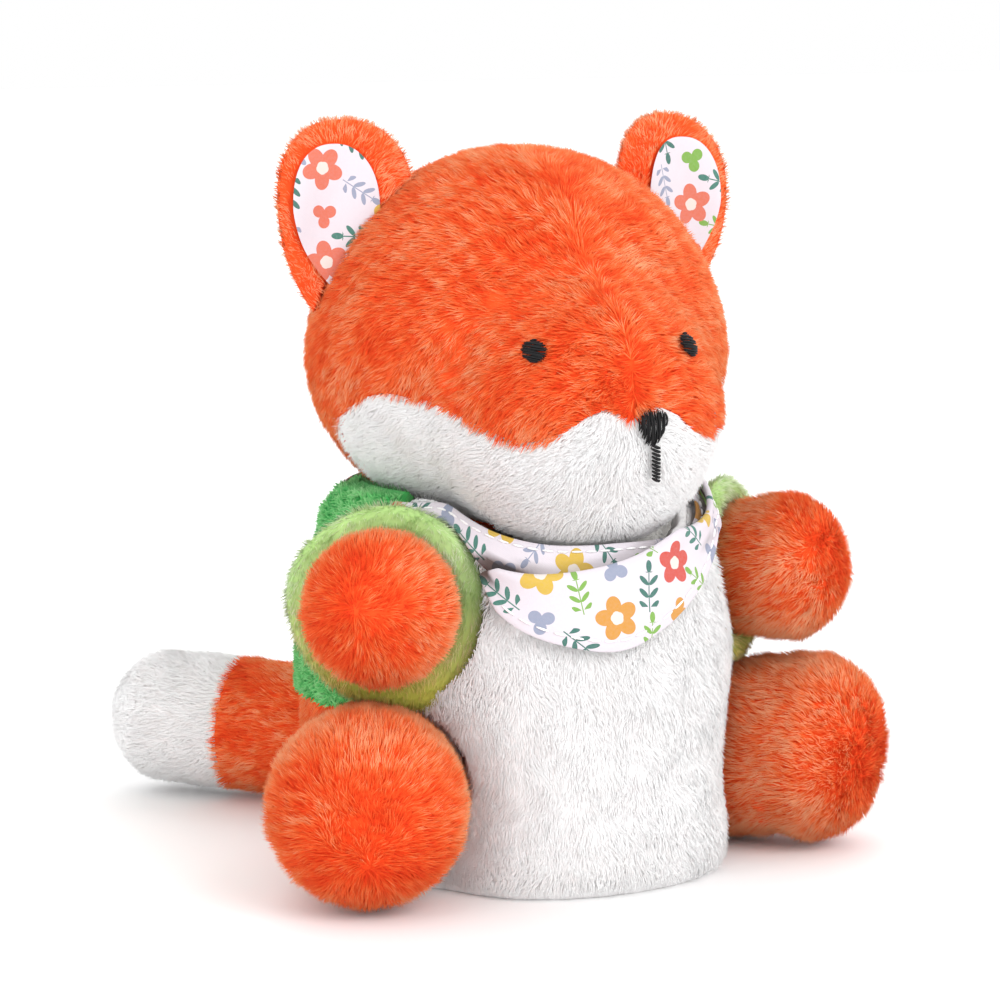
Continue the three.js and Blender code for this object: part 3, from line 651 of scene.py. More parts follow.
def print_cotton():
    """White cotton with five-petal blossoms, three-petal clovers and leafy sprigs in a half-drop layout, over
    a fine plain weave. Its tone paints shade on it: 0 is the cloth in full light, and 1 its deepest painted
    shade."""
    f = Finish("printed_cotton", Specular_IOR_Level=0.3, Sheen_Weight=0.1)
    where = f.node("ShaderNodeUVMap", {"uv_map": "cloth"})
    x, y = f.part(where, 0), f.part(where, 1)
    width, height = 18.4, 24.0

    def repeat(slide_x, slide_y):
        """Place in its own repeat, in millimetres from its middle, and the repeat's chance number."""
        column = (x + slide_x) / width
        number = column.to("FLOOR")
        row = (y + slide_y) / height + number * 0.5
        level = row.to("FLOOR")
        chance = ((number * 7.31 + level * 3.17).to("SINE") * 437.5).to("FRACT")
        return (column - number - 0.5) * width, (row - level - 0.5) * height, chance

    def polar(across, up, chance):
        """Distance from the middle, and the turn round it from a random start."""
        return (across * across + up * up).to("SQRT"), up.to("ARCTAN2", across) + chance * 6.28

    def petals(place, count, size, notch):
        """Mask of a flower, whose edge goes in between its petals."""
        far, turn = polar(*place)
        lobes = (turn * (count / 2)).to("COSINE").to("ABSOLUTE")
        return far < size * (1 - notch) + lobes * (size * notch)

    def sprig(place, size):
        """Mask of a stalk with slanted leaflets in pairs, and a leaf at its tip."""
        far, turn = polar(*place)
        along = far * turn.to("COSINE") / size
        off = (far * turn.to("SINE")).to("ABSOLUTE") / size
        step = (along - 0.7 * off) / 3.3
        near = (step - step.to("FLOOR") - 0.5) * 3.3 / 0.85
        rise = (off - 1.55) / 1.4
        pairs = (near * near + rise * rise < 1.0) * ((along - 0.4).to("ABSOLUTE") < 4.6)
        tip = (along - 6.4) / 1.6
        leaf = tip * tip + off * off / 0.8 < 1.0
        stalk = (off < 0.16) * (along.to("ABSOLUTE") < 5.6)
        return pairs.to("MAXIMUM", leaf).to("MAXIMUM", stalk)

    def printed(shade, mask, place, *dyes):
        """A motif printed in one of the dyes, by the chance number of its repeat."""
        dye = f.ramp(place[2], *((k / len(dyes), text) for k, text in enumerate(dyes)))
        dye.socket.node.color_ramp.interpolation = "CONSTANT"
        return f.blend(mask, shade, dye)

    place = repeat(9.2, 6.0)
    shade = printed("f6f1f6", sprig(place, 0.95), place, "1a7562", "23826c", "1a7562")
    place = repeat(9.2, 18.0)
    shade = printed(shade, sprig(place, 0.85), place, "9fabc2", "7fbc34")
    place = repeat(0.0, 0.0)
    shade = printed(shade, petals(place, 5, 5.6, 0.4), place, "e59f1c", "ee7650", "e8c22c", "df4a30")
    shade = f.blend(petals(place, 5, 1.7, 0.1), shade, "fbf3e6")
    place = repeat(0.0, 12.0)
    shade = printed(shade, petals(place, 3, 3.4, 0.6), place, "7fbc34", "ee7650", "9fabc2", "e59f1c")
    thread = 2 * math.pi / 0.42
    weave = (x * thread).to("SINE") * (y * thread).to("SINE")
    slub = f.noise(where, 1.4)
    shade = f.blend(0.22 * slub, shade, "dcd3df")
    # Painted shade, by the piece's tone.
    painted_shade = f.ramp(f.tone(), (0.0, (0.74, 0.72, 0.735, 1)), (1.0, (0.09, 0.06, 0.05, 1)))
    shade = f.blend(1.0, shade, painted_shade, "MULTIPLY")
    threads = f.bump(weave + slub * 2, 0.25, 0.00012)
    return f.set(Base_Color=shade, Roughness=0.72 + weave * 0.06, Normal=threads)


PRINT = print_cotton()


def thread(name, dark, light):
    """Twisted sewing thread: fine ridges across each strand."""
    f = Finish(name, Roughness=0.6, Specular_IOR_Level=0.3)
    twist = f.noise(f.places(), 2600.0, 2.0)
    return f.set(Base_Color=f.ramp(twist, (0.3, dark), (0.75, light)), Normal=f.bump(twist, 0.5, 0.0001))


BLACK = thread("black_thread", "050506", "151417")
STITCH = thread("white_thread", "e9e6e8", "ffffff")


def fibre():
    """Loose polyester fibre: tangled strands over soft lumps."""
    f = Finish("filling_fibre", Roughness=0.9, Sheen_Weight=0.3)
    lumps, strands = f.noise(f.places(), 90.0), f.noise(f.places(), 1400.0, 5.0)
    shade = f.ramp(lumps * 0.6 + strands * 0.4, (0.3, "dfdcd6"), (0.7, "fbfaf6"))
    return f.set(Base_Color=shade, Normal=f.bump(lumps * 3 + strands, 0.8, 0.0012))


FIBRE = fibre()

# Camera, from the photograph: 33 degrees to the fox's right, 8 degrees up, 1 m away
aside = math.radians(-33)
toward = heading(-33, 8)
right = np.array([math.cos(aside), math.sin(aside), 0])
over = np.cross(toward, right)
camera = placed("camera", bpy.data.cameras.new("camera"))
camera.data.sensor_width, camera.data.lens, camera.data.clip_end = 36, 135, 20
pose = np.eye(4)
pose[:3, 0], pose[:3, 1], pose[:3, 2] = right, over, toward
pose[:3, 3] = (-4 * right + 92.8 * over + 1000 * toward) * MM
camera.matrix_world = Matrix(pose.tolist())
bpy.context.scene.camera = camera
bpy.context.scene.view_settings.view_transform = "Standard"


# Pieces
def hermite(t, start, end, leave, arrive):
    """Cubic from start to end, whose slope is leave at the start and arrive at the end."""
    curve = (2 * t**3 - 3 * t**2 + 1) * start + (t**3 - 2 * t**2 + t) * leave
    return curve + (3 * t**2 - 2 * t**3) * end + (t**3 - t**2) * arrive


def seam_loop(points, steps):
    """Closed curve through points: Hermite cubics whose knots are spaced by the root of the distance."""
    a, b, c, d = (np.roll(points, s, 0)[:, None] for s in (1, 0, -1, -2))
    pairs = ((a, b), (b, c), (c, d))
    ab, bc, cd = (np.sqrt(np.linalg.norm(q - p, axis=-1, keepdims=True)) for p, q in pairs)
    leave = ((b - a) / ab - (c - a) / (ab + bc) + (c - b) / bc) * bc
    arrive = ((c - b) / bc - (d - b) / (bc + cd) + (d - c) / cd) * bc
    t = np.linspace(0, 1, steps, endpoint=False)[None, :, None]
    return hermite(t, b, c, leave, arrive).reshape(-1, 3)


# The white face's seam, in degrees to the left and up from the head's middle
FACE_EDGE = [(0, -12), (6, -9.5), (12, -12), (17.5, -15.6), (24, -17.3), (32, -16.2), (40, -14.2)]
FACE_EDGE += [(54, -11.5), (67, -10.3), (78, -14.5), (88, -20.5), (95, -28), (97, -40), (82, -54)]
FACE_EDGE += [(40, -66), (0, -72)]
edge = np.array([heading(a, b) for a, b in FACE_EDGE + [(-a, b) for a, b in FACE_EDGE[-2:0:-1]]])
FACE_MIDDLE = heading(0, -34)
FACE_RIGHT = np.array([1.0, 0, 0])
FACE_UP = np.cross(FACE_RIGHT, FACE_MIDDLE)


def face_polar(d):
    """Turn round the face's middle and the angle away from it."""
    return np.arctan2(d @ FACE_UP, d @ FACE_RIGHT), np.arccos(np.clip(d @ FACE_MIDDLE, -1, 1))


edge_turn, edge_away = face_polar(unit(seam_loop(edge, 24)))
order = np.argsort(edge_turn)
edge_turn, edge_away = edge_turn[order], edge_away[order]


def face_margin(d):
    """How far inside the white face a direction is, in radians from its seam."""
    turn, away = face_polar(d)
    return np.interp(turn, edge_turn, edge_away, period=2 * np.pi) - away


def head_direction(points):
    """Direction of a point from the head's middle, in the head's own frame."""
    return unit(turned(points, -HEAD_TURN, HEAD) - HEAD)


def head_flow(points, white):
    """The nap runs away from the nose's line, over the crown, and down the cheeks and the head's back."""
    d = head_direction(points)
    front = ease(-d[:, 1], -0.35, 0.45)
    low = ease(-d[:, 2], -0.42, 0.2)
    out = np.tanh(d[:, 0] / 0.1) * front
    if white:
        flow = np.stack([0.9 * out, 0.5 + 0 * out, -0.25 - 0.35 * low], -1)
    else:
        down = np.maximum(low * ease(np.abs(d[:, 0]), 0.15, 0.6), 1 - front)
        back = 0.35 + 0.5 * ease(d[:, 2], 0.3, 0.9)
        flow = np.stack([out * (1 - 0.45 * down), back, -0.1 - 1.1 * down], -1)
    return turned(flow, HEAD_TURN)


def body_inside(lift):
    """How far inside the body's side a point is."""
    return lambda p: body_radius(p[:, 2], lift, body_round(p)) - from_middle(p)


def head_core(points):
    """The head's middle, once for each point."""
    return np.broadcast_to(HEAD, points.shape)


def head_inside(points):
    """How far inside the head a point is."""
    return head_radius(head_direction(points)) - np.linalg.norm(points - HEAD, axis=-1)


def head_piece(name, white, per_mm2, seed, slot, **hair):
    """Crown or face: the skin from the frame, and a pile on its side of the seam."""
    skin, faces = node_mesh(name)
    skin = drawn_in(skin, head_inside, head_core, 1.6)
    mine = lambda p: ((face_margin(head_direction(p)) > 0) == white) & (body_inside(0)(p) < 6)
    _, _, at, out = scatter(head_surface, per_mm2, seed, mine)
    furred(name, skin, faces, [pile(at, out, head_flow(at, white), seed, **hair)], "head", slot)


head_piece("head_crown", False, 4.3, 11, "orange_plush")
head_piece("head_face", True, 4.4, 12, "white_plush", length=2.3, relief=0.3)


def body_core(points):
    """Nearest point of an upright line in the body's middle."""
    return BODY_MIDDLE + np.clip(points[:, 2], 6, 70)[:, None] * UPRIGHT


def above_table(points):
    """Test for points that aren't in the table."""
    return points[:, 2] > 0.1


def body_piece(name, keep, lift, per_mm2, seed, flow, slot, sink, puff=None, **hair):
    """A panel of the body: the skin from the frame with its sockets, and a pile outside what moves, with a
    ring of shorter pile round each socket's rim."""
    skin, faces = node_mesh(name)
    skin = drawn_in(skin, body_inside(lift), body_core, sink)
    if puff:
        skin = puff(skin)
    side = body_side(lift)
    shape = (lambda u, v: puff(side(u, v))) if puff else side
    rooted = lambda p: keep(p) & above_table(p) & (swept(p) < -0.6)
    clear = lambda p: above_table(p) & (swept(p) < 0.8)
    _, _, at, out = scatter(shape, per_mm2, seed, rooted, (150, 120))
    tufts = [pile(at, out, flow(at), seed, sink=sink, clear=clear, **hair)]
    at, out = scatter_faces(skin, faces, lambda p: np.abs(swept(p) + 1.0) < 0.5, 2.0, seed + 500)
    away = unit(at - body_core(at)) + [0, 0, -0.3]
    tufts.append(pile(at, out, away, seed + 600, length=2.3, rise=24, sink=0.2, clear=clear))
    furred(name, skin, faces, tufts, "torso", slot)


def downward(points):
    """The nap runs down, and a little outwards."""
    return np.tile([0.0, 0.0, -1.0], (len(points), 1)) + 0.15 * unit(points * [1, 1, 0])


def tossed(points):
    """No nap: every loop leans its own way."""
    return np.random.default_rng(len(points)).normal(size=points.shape)


def collar(points):
    """The jacket puffs up at the shoulders, beside the neck, and takes the kerchief's ends under its pile."""
    turn, level = np.abs(body_round(points)), points[..., 2]
    rise = 4.2 * ease(turn, 58, 76) * ease(-turn, -128, -106) * ease(level, 82, 92) * ease(-level, -101, -97)
    flat = points - BODY_MIDDLE - level[..., None] * UPRIGHT
    return points + rise[..., None] * (0.8 * unit(flat) + [0, 0, 0.6])


def in_front(points):
    """Test for the belly panel's share of the body's round."""
    return np.abs(body_round(points)) < 76


NUBBY = {"length": 2.0, "width": 0.85, "rise": 48, "wild": 60}
body_piece("belly_panel", in_front, 0, 4.2, 21, downward, "white_plush", 1.5, length=2.3, relief=0.3)
body_piece(
    "jacket_back", lambda p: ~in_front(p) & (p[:, 2] > 45.3), 1.4, 3.0, 22, tossed, "green_plush", 1.2,
    collar, **NUBBY,
)
body_piece(
    "rump_panel", lambda p: ~in_front(p) & (p[:, 2] < 45), 0, 3.0, 23, downward, "orange_plush", 1.5
)


def limb_piece(
    name, limb, surface, keep, per_mm2, seed, flow, body, slot, sink=1.4, fuller=None, ruff=None, **hair
):
    """A limb's skin from the frame with a pile on it. flow gives the nap, or the nap and a shift of its tone
    that holds painted shade, and a ruff of longer pile round the limb's root fills its socket."""
    skin, faces = node_mesh(name)
    skin = drawn_in(skin, limb.depth, limb.core, sink)
    if fuller:
        skin = fuller(skin)
    cells = (110, 90)
    _, _, at, out = scatter(surface, per_mm2, seed, lambda p: keep(p) & (body_inside(0)(p) < 5), cells)
    nap, dye = flow(at), 0.0
    if isinstance(nap, tuple):
        nap, dye = nap
    tufts = [pile(at, out, nap, seed, sink=sink, clear=above_table, dye=dye, **hair)]
    if ruff:
        _, _, at, out = scatter(surface, 4, seed + 9, limb.between(-9, ruff), cells)
        back = -np.tile(limb.line, (len(at), 1))
        tufts.append(pile(at, out, back, seed + 9, length=4.6, rise=62, sink=sink, clear=above_table))
    furred(name, skin, faces, tufts, body, slot)


def from_swirl(limb, swirl):
    """The nap runs away from a swirl on the limb's end, round which a darker tone paints the pile's shade."""

    def flow(points):
        near = unit(points - limb.far) @ swirl
        # Painted shade: the tone falls from 0.2 to -0.16 towards the swirl.
        return -np.tile(swirl, (len(points), 1)), mix(0.2, -0.16, ease(near, 0.1, 1))

    return flow


def sturdy(limb):
    """A leg's soft form: its root's underside as thick as its foot, and its sole flattened by a power."""
    power = 2.5

    def form(points):
        along = limb.along(points)
        on_line = limb.pivot + along[..., None] * limb.line
        out = points - limb.pivot - along[..., None] * limb.line
        far = np.linalg.norm(out, axis=-1)
        thin = limb.end - mix(limb.root, limb.end, np.clip(along / limb.length, 0, 1))
        under = ease(-out[..., 2] / np.maximum(far, 1e-6), -0.1, 0.6)
        free = ease(-body_inside(0)(points.reshape(-1, 3)).reshape(far.shape), -4, 3)
        grown = on_line + out * (1 + thin * under * free / np.maximum(far, 1))[..., None]
        past = np.maximum(along - limb.length, 0)
        square = np.maximum((past**power + far**power) ** (1 / power), 1e-6)
        scale = np.where(past > 0, np.hypot(past, far) / square, 1)[..., None]
        moved = np.where(past[..., None] > 0, limb.far + (points - limb.far) * scale, grown)
        return np.stack([moved[..., 0], moved[..., 1], np.maximum(moved[..., 2], 0.4)], -1)

    return form


for side, word in SIDES:
    limb, body = arm(side), f"arm_{word}"
    swirl = 0.94 * toward - 0.32 * right if side < 0 else heading(50, 20)
    limb_piece(
        f"paw_{word}", limb, limb.surface(), limb.between(9), 4.0, 31 + side, from_swirl(limb, swirl), body,
        "orange_plush", length=3.0, rise=42,
    )
    limb_piece(
        f"sleeve_{word}", limb, limb.surface(4.7), limb.between(-30, 4), 2.8, 41 + side, tossed, body,
        "green_plush", sink=1.0, **NUBBY,
    )
    limb, fuller = leg(side), sturdy(leg(side))
    swirl = 0.87 * toward - 0.49 * over if side < 0 else heading(60, -10)
    limb_piece(
        f"leg_{word}", limb, lambda u, v: fuller(limb.surface()(u, v)), limb.between(-7.5), 3.8, 61 + side,
        from_swirl(limb, swirl), f"leg_{word}_body", "orange_plush", sink=1.9, fuller=fuller, length=3.2,
        rise=42,
    )

for name, keep, slot, seed, ruff in (
    ("tail_base", TAIL.between(-5.5, 49), "orange_plush", 71, 6),
    ("tail_tip", TAIL.between(49.3), "white_plush", 72, None),
):
    limb_piece(
        name, TAIL, TAIL.surface(), keep, 3.6, seed, lambda p: np.tile(TAIL.line - [0, 0, 0.2], (len(p), 1)),
        "tail", slot, ruff=ruff, length=2.8, rise=26, relief=0.3,
    )


def rounded(wave):
    """Share from 0 to 1 that follows a sine or cosine with flattened tops, as on a rounded square."""
    return 0.5 + 0.5 * np.sign(wave) * np.abs(wave) ** 0.7


def cuff_roll(side):
    """Turned-back cuff: a plump ring that flares to its end, whose section is a rounded square. The right one
    sags into a bulge on its lower outer side."""
    limb = arm(side)

    def place(u, v):
        round_, turn = 2 * np.pi * u, 2 * np.pi * v
        along = mix(4.4, 15.0, rounded(np.cos(turn)))
        inner = mix(12.8, 21.1, ease(along / 25, 0.1, 0.9)) * 0.96
        plump = 0.4 * np.sin(3 * round_ + 1) + 0.25 * np.sin(5 * round_)
        if side < 0:
            plump = plump + 3.4 * np.exp(-(((np.degrees(round_) - 238) / 34) ** 2)) + 0.8
        outer = mix(17.2, 24.2, np.minimum(1, along / 12.5)) + plump
        radius = mix(inner, outer, rounded(np.sin(turn)))
        return limb.pivot + along[..., None] * limb.line + radius[..., None] * limb.outward(round_)

    return place


for side, word in SIDES:
    limb, place = arm(side), cuff_roll(side)
    points, faces, _ = ring_mesh(place, 96, 28)
    u, v, at, _ = scatter(place, 3.2, 51 + side, None, (140, 60))
    step = 0.004
    away = unit(at - limb.core(at))
    out = unit(np.cross(place(u + step, v) - at, place(u, v + step) - at))
    out *= np.sign(dot(out, at - (limb.pivot + 9.7 * limb.line + away * 19)))[:, None]
    shown = dot(away, out) > -0.7
    at, out = at[shown], out[shown]
    nap = np.tile(0.5 * limb.line - [0, 0, 0.6], (len(at), 1))
    clear = lambda p: p[:, 2] > 0
    tufts = pile(at, out, nap, 55 + side, length=2.5, rise=42, sink=0.4, relief=1.0, clear=clear)
    furred(f"cuff_{word}", points, faces, [tufts], f"arm_{word}", "pale_green_plush")


# Ears
def ear_start(side, fat):
    """For each turn round the ear, the share of its length at which it leaves the head."""
    u = np.arange(64) / 64
    low, high = np.zeros(64), np.full(64, 0.7)
    for _ in range(18):
        middle = (low + high) / 2
        inside = head_inside(ear_surface(side, fat)(u, middle)) > -0.2
        low, high = np.where(inside, middle, low), np.where(inside, high, middle)
    return lambda at: np.interp(at, u, low, period=1)


def ear_lining(side):
    """Cotton leaf on the ear's front, with its edge turned under."""

    def place(u, v):
        climb, turn = pole_to_pole(v), 2 * np.pi * u
        share = (LINING_FOOT + LINING_HEIGHT * climb) / EAR_HEIGHT
        middle, half = lining_leaf(climb)
        across = middle + np.cos(turn) * half
        bed = ear_thick(across / ear_width(share)) * 0.8
        folds = 0.5 * np.sin(across / 3.1 + climb * 5) * np.sin(np.pi * climb)
        return ear_point(across, share, bed + 0.5 + 0.8 * (1 + np.sin(turn)) / 2 + folds, side)

    return place


for side, word in SIDES:
    start, leaf = ear_start(side, 0.8), ear_surface(side, 0.8)
    points, faces = round_mesh(lambda u, v: leaf(u, mix(start(u), 1, v)), 64, 60)
    u, v, at, out = scatter(ear_surface(side, 0.95), 3.8, 81 + side, None, (120, 120))
    share = pole_to_pole(v)
    across = np.cos(2 * np.pi * u) * ear_width(share)
    level = share * EAR_HEIGHT - LINING_FOOT
    middle, half = lining_leaf(np.clip(level / LINING_HEIGHT, 0, 1))
    lined = (np.sin(2 * np.pi * u) > 0) & (np.abs(across - middle) < half - 0.2)
    lined &= (level > 0) & (level < LINING_HEIGHT)
    shown = ~lined & (head_inside(at) < 0.5)
    at, out, across = at[shown], out[shown], across[shown]
    up, aside = (turned(way * [side, 1, 1], HEAD_TURN) for way in (EAR_UP, EAR_OUT))
    nap = 0.6 * up + aside * (across / EAR_HALF)[:, None]
    tufts = pile(at, out, nap, 85 + side, length=2.3, rise=42, sink=0.6, dye=0.22, relief=1.3)
    furred(f"ear_back_{word}", points, faces, [tufts], "head", "orange_plush")

    points, faces = round_mesh(ear_lining(side), 48, 48)
    flat = turned(points, -HEAD_TURN, HEAD) * [side, 1, 1] - EAR_FOOT
    cloth = np.stack([side * flat @ EAR_OUT + 40 * side, flat @ EAR_UP + 9], -1)[faces]
    name, area = f"ear_lining_{word}", one_side(points, faces)
    piece = make(name + "_cotton", points, faces, "head", [name], "print_cotton", PRINT, cloth=cloth)

# Kerchief: degrees round from the front, lower edge, upper edge
FLAP = np.array([
    [-180, 85, 95], [-70, 85, 96], [-52, 82, 90], [-44, 77.5, 85], [-34, 69.5, 82], [-22, 65, 81.8],
    [-8, 63.2, 83.5], [4, 67.5, 86.3], [16, 74, 90], [28, 81, 94], [40, 86.5, 96.5], [70, 87, 97],
    [180, 85, 95],
])
BAND = np.array([
    [-180, 90, 99], [-110, 92, 97.5], [-70, 92, 97.5], [-50, 87, 98], [-32, 78.5, 93], [-8, 76, 90],
    [16, 79.5, 93], [34, 86, 97.5], [54, 91, 98.5], [110, 92, 97.5], [180, 90, 99],
])


def named_edges(edges, degrees):
    """Heights of a turn's lower and upper edge: a Hermite cubic through the named places round the neck."""
    x = edges[:, 0]
    to = np.clip(np.searchsorted(x, degrees, side="left"), 1, len(x) - 1)
    before, start, after = np.maximum(to - 2, 0), to - 1, np.minimum(to + 1, len(x) - 1)
    span = x[to] - x[start]
    both = []
    for h in (edges[:, 1], edges[:, 2]):
        leave = (h[to] - h[before]) / (x[to] - x[before]) * span
        arrive = (h[after] - h[start]) / (x[after] - x[start]) * span
        both.append(hermite((degrees - x[start]) / span, h[start], h[to], leave, arrive))
    return both


def off_body(degrees, level, off):
    """Point at a height on the dressed body, and off square to it."""
    lift = 1.4 * ease(np.abs(degrees), 54, 70)
    slope = (body_radius(level + 1, lift, degrees) - body_radius(level - 1, lift, degrees)) / 2
    tilt = 1 / np.hypot(slope, 1)
    radius = body_radius(level, lift, degrees) + off * tilt
    return round_place(degrees, radius, level - off * slope * tilt)


class Turn:
    """One turn of the kerchief: cotton folded to a strip, kept clear of the head and arms as they move."""

    def __init__(self, edges, room, wave, seed, hem):
        self.room, self.wave, self.seed, self.hem = room, wave, seed, hem
        self.round = np.arange(-180, 181, 1.5)
        low, top = named_edges(edges, self.round)
        climb = np.linspace(0, 1, 61)
        level = mix(low[:, None], top[:, None], climb)
        places = off_body(self.round[:, None] + 0 * level, level, room)
        free = (swept(places.reshape(-1, 3)) < -0.5).reshape(level.shape)
        keep = []
        for row in free:
            runs = np.flatnonzero(np.diff(np.concatenate([[0], row, [0]]).astype(int))).reshape(-1, 2)
            best = runs[np.argmax(runs[:, 1] - runs[:, 0])] if len(runs) else (0, 1)
            keep.append((climb[best[0]], climb[best[1] - 1]))
        keep = np.array(keep)
        bell = np.array([1, 2, 3, 4, 3, 2, 1]) / 16
        smooth = lambda h: np.convolve(np.pad(h, 3, "edge"), bell, "valid")
        self.low, self.top = (smooth(mix(low, top, keep[:, k])) for k in (0, 1))

    def edges(self, degrees):
        return np.interp(degrees, self.round, self.low), np.interp(degrees, self.round, self.top)

    def point(self, degrees, climb, stand):
        """Point degrees round, at a share of the strip's height, and how far it stands off its middle."""
        low, top = self.edges(degrees)
        spine = np.stack([degrees * 0.9, climb * 20, 0 * climb], -1)
        hem = self.hem * ease(degrees, -45, -33) * ease(-degrees, -70, -50)
        twist = 1.3 * hem * np.exp(-(((degrees - 11) / 4.5) ** 2)) * ease(climb, 0.7, 1)
        folds = self.wave * ripple(spine, 34, self.seed) * np.sin(np.pi * climb)
        folds = folds + hem * ease(climb, 0.45, 0.95) + twist
        return off_body(degrees, mix(low, top, climb), self.room + folds + stand)

    def strip(self, first, last):
        """A flat section with round hems, thicker at its top."""

        def place(u, v):
            degrees = first + (last - first) * u
            turn = 2 * np.pi * v
            end = 1 if last - first == 360 else np.clip(np.minimum(u, 1 - u) * 24, 0, 1) ** 0.5
            climb = 0.5 + 0.5 * np.sign(np.cos(turn)) * np.abs(np.cos(turn)) ** 0.55 * end
            thick = 0.65 + self.hem * 0.4 * ease(climb, 0.7, 0.97)
            return self.point(degrees, climb, thick * np.sin(turn) * end)
            return self.point(degrees, climb, thick * np.sin(turn) * end)

        return place


band, flap = Turn(BAND, 1.3, 0.3, 91, 0.0), Turn(FLAP, 3.4, 0.6, 92, 1.8)
wide = flap.round[(flap.top - flap.low > 0.8) & (np.abs(flap.round) < 72)]
flap_ends = (-43.5, wide.max())
for name, turn, (first, last), around in (
    ("kerchief_band", band, (-180, 180), 300), ("kerchief_flap", flap, flap_ends, 160),
):
    place = turn.strip(first, last)
    grow = 1 if last - first == 360 else around / (around - 1)
    points, faces, corners = ring_mesh(lambda u, v: place(u * grow, v), around, 56)
    cloth = np.stack([mix(first, last, corners[..., 0] * grow) * 0.98, points[faces][..., 2]], -1)
    # Painted shade in the tone: the band is darkened behind and just above the flap's top edge, in full in
    # the gap at the left and to a third elsewhere, and the flap's inner side is darkened near its top, as the
    # shade inside the fold.
    degrees, level = body_round(points), points[:, 2]
    _, fold = flap.edges(degrees)
    if turn is band:
        cloth += [46, 12.5]
        gap_shadow = np.exp(-(((degrees + 38) / 9) ** 4))
        shade = ease(fold - level, -4.0, -2.2) * (0.3 + 0.7 * gap_shadow) * (np.abs(degrees + 2) < 46)
    else:
        inner = body_radius(level, 0, degrees) + flap.room + flap.hem * 0.8 - from_middle(points)
        shade = ease(inner, 0, 0.5) * ease(level - fold, -5, -1)
    sewn = {"tone": shade, "cloth": cloth}
    piece = make(name + "_cotton", points, faces, "torso", [name], "print_cotton", PRINT, **sewn)
    length = math.radians(last - first) * 0.056
    width = max(one_side(points, faces) / length, 0.01)

# Embroidery
def strand(path, width, sides=6):
    """A tube round each path of points: rows of sides points across its line, narrow at the ends."""
    rows = path.shape[1]
    along = unit(np.gradient(path, axis=1))
    out = unit(path - HEAD)
    side = unit(np.cross(along, out))
    top = np.cross(side, along)
    turn = np.arange(sides) * 2 * np.pi / sides
    taper = np.sin(np.pi * np.linspace(0.04, 0.96, rows)) ** 0.35
    ring = np.cos(turn)[:, None] * side[:, :, None] + np.sin(turn)[:, None] * top[:, :, None]
    points = path[:, :, None] + ring * (width / 2 * taper)[None, :, None, None]
    index = np.arange(rows * sides).reshape(rows, sides)
    a, b = index[:-1], index[1:]
    quads = np.stack([a, np.roll(a, -1, 1), np.roll(b, -1, 1), b], -1).reshape(-1, 4)
    caps = [[index[0, 0], index[0, k + 1], index[0, k]] for k in range(1, sides - 1)]
    caps += [[index[-1, 0], index[-1, k], index[-1, k + 1]] for k in range(1, sides - 1)]
    one = np.concatenate([quads[:, [0, 1, 2]], quads[:, [0, 2, 3]], np.array(caps)])
    faces = (np.arange(len(path))[:, None, None] * rows * sides + one).reshape(-1, 3)
    return points.reshape(-1, 3), faces


def on_head(across, up, lift):
    """Point of the head straight behind a place across and up in front of its middle."""
    return head_point(unit(np.stack(np.broadcast_arrays(across, -46.0, up), -1)), lift)


def satin(middle, half, edges, direction, height, seed):
    """Parallel threads across a shape of half its width and height: edges(s) gives its lower and upper edge
    at a share s of its half width, from -1 to 1."""
    (cx, cy), (wide, tall) = middle, half
    pitch = 0.36
    r = np.random.default_rng(seed)
    lines = np.arange(-1 + pitch / wide / 2, 1, pitch / wide)
    low, top = edges(lines)
    reach = np.maximum(0.1, (top - low) / 2) * tall * (1 + 0.07 * r.normal(size=len(lines)))
    t = np.linspace(-1, 1, 9)
    across = lines[:, None] * wide + 0.12 * r.normal(size=(len(lines), 1)) * np.ones(9)
    up = reach[:, None] * t + ((low + top) / 2)[:, None] * tall
    a = math.radians(direction)
    x, y = cx + across * math.cos(a) - up * math.sin(a), cy + across * math.sin(a) + up * math.cos(a)
    dome = height * np.sqrt(np.maximum(0, 1 - 0.9 * t**2))
    dome = dome * np.sqrt(np.maximum(0.15, 1 - 0.8 * lines[:, None] ** 2))
    return strand(on_head(x, y, dome), pitch * 1.35)


def embroidered(node, parts):
    """One piece of black thread, in a CAD node's place."""
    make(node + "_stitches", *joined(parts), "head", [node], "black_thread", BLACK)


def disc_edges(s):
    """Lower and upper edge of a disc."""
    reach = np.sqrt(np.maximum(0.03, 1 - s * s))
    return -reach, reach


def nose_edges(s):
    """Lower and upper edge of a rounded triangle that stands on its tip."""
    return -1.05 + 1.2 * np.abs(s) ** 1.9, 0.95 - 0.35 * np.abs(s) ** 3


for side, word in SIDES:
    disc = ((-2.2 + 16.3 * side, 2.8), (2.1, 2.55), disc_edges)
    embroidered(f"eye_{word}", [satin(*disc, 90, 1.2, 101), satin(*disc, 80, 1.5, 102)])
nose = ((3.4, -11), (2.7, 3.3), nose_edges)
embroidered("nose", [satin(*nose, 0, 1.3, 103), satin(*nose, 8, 1.7, 104)])
steps = np.linspace(0, 1, 10)
line = np.stack([3.6 + 1.4 * steps, -14.4 - 7.0 * steps], -1)
rope = line[:, None] + np.linspace([-0.2, 0.4], [1.7, -0.4], 7)[None]
lift = 0.8 + 0.7 * np.sin(np.pi * np.linspace(0, 1, 7))
embroidered("mouth_line", [strand(on_head(rope[..., 0], rope[..., 1], lift + 0 * rope[..., 0]), 0.85)])

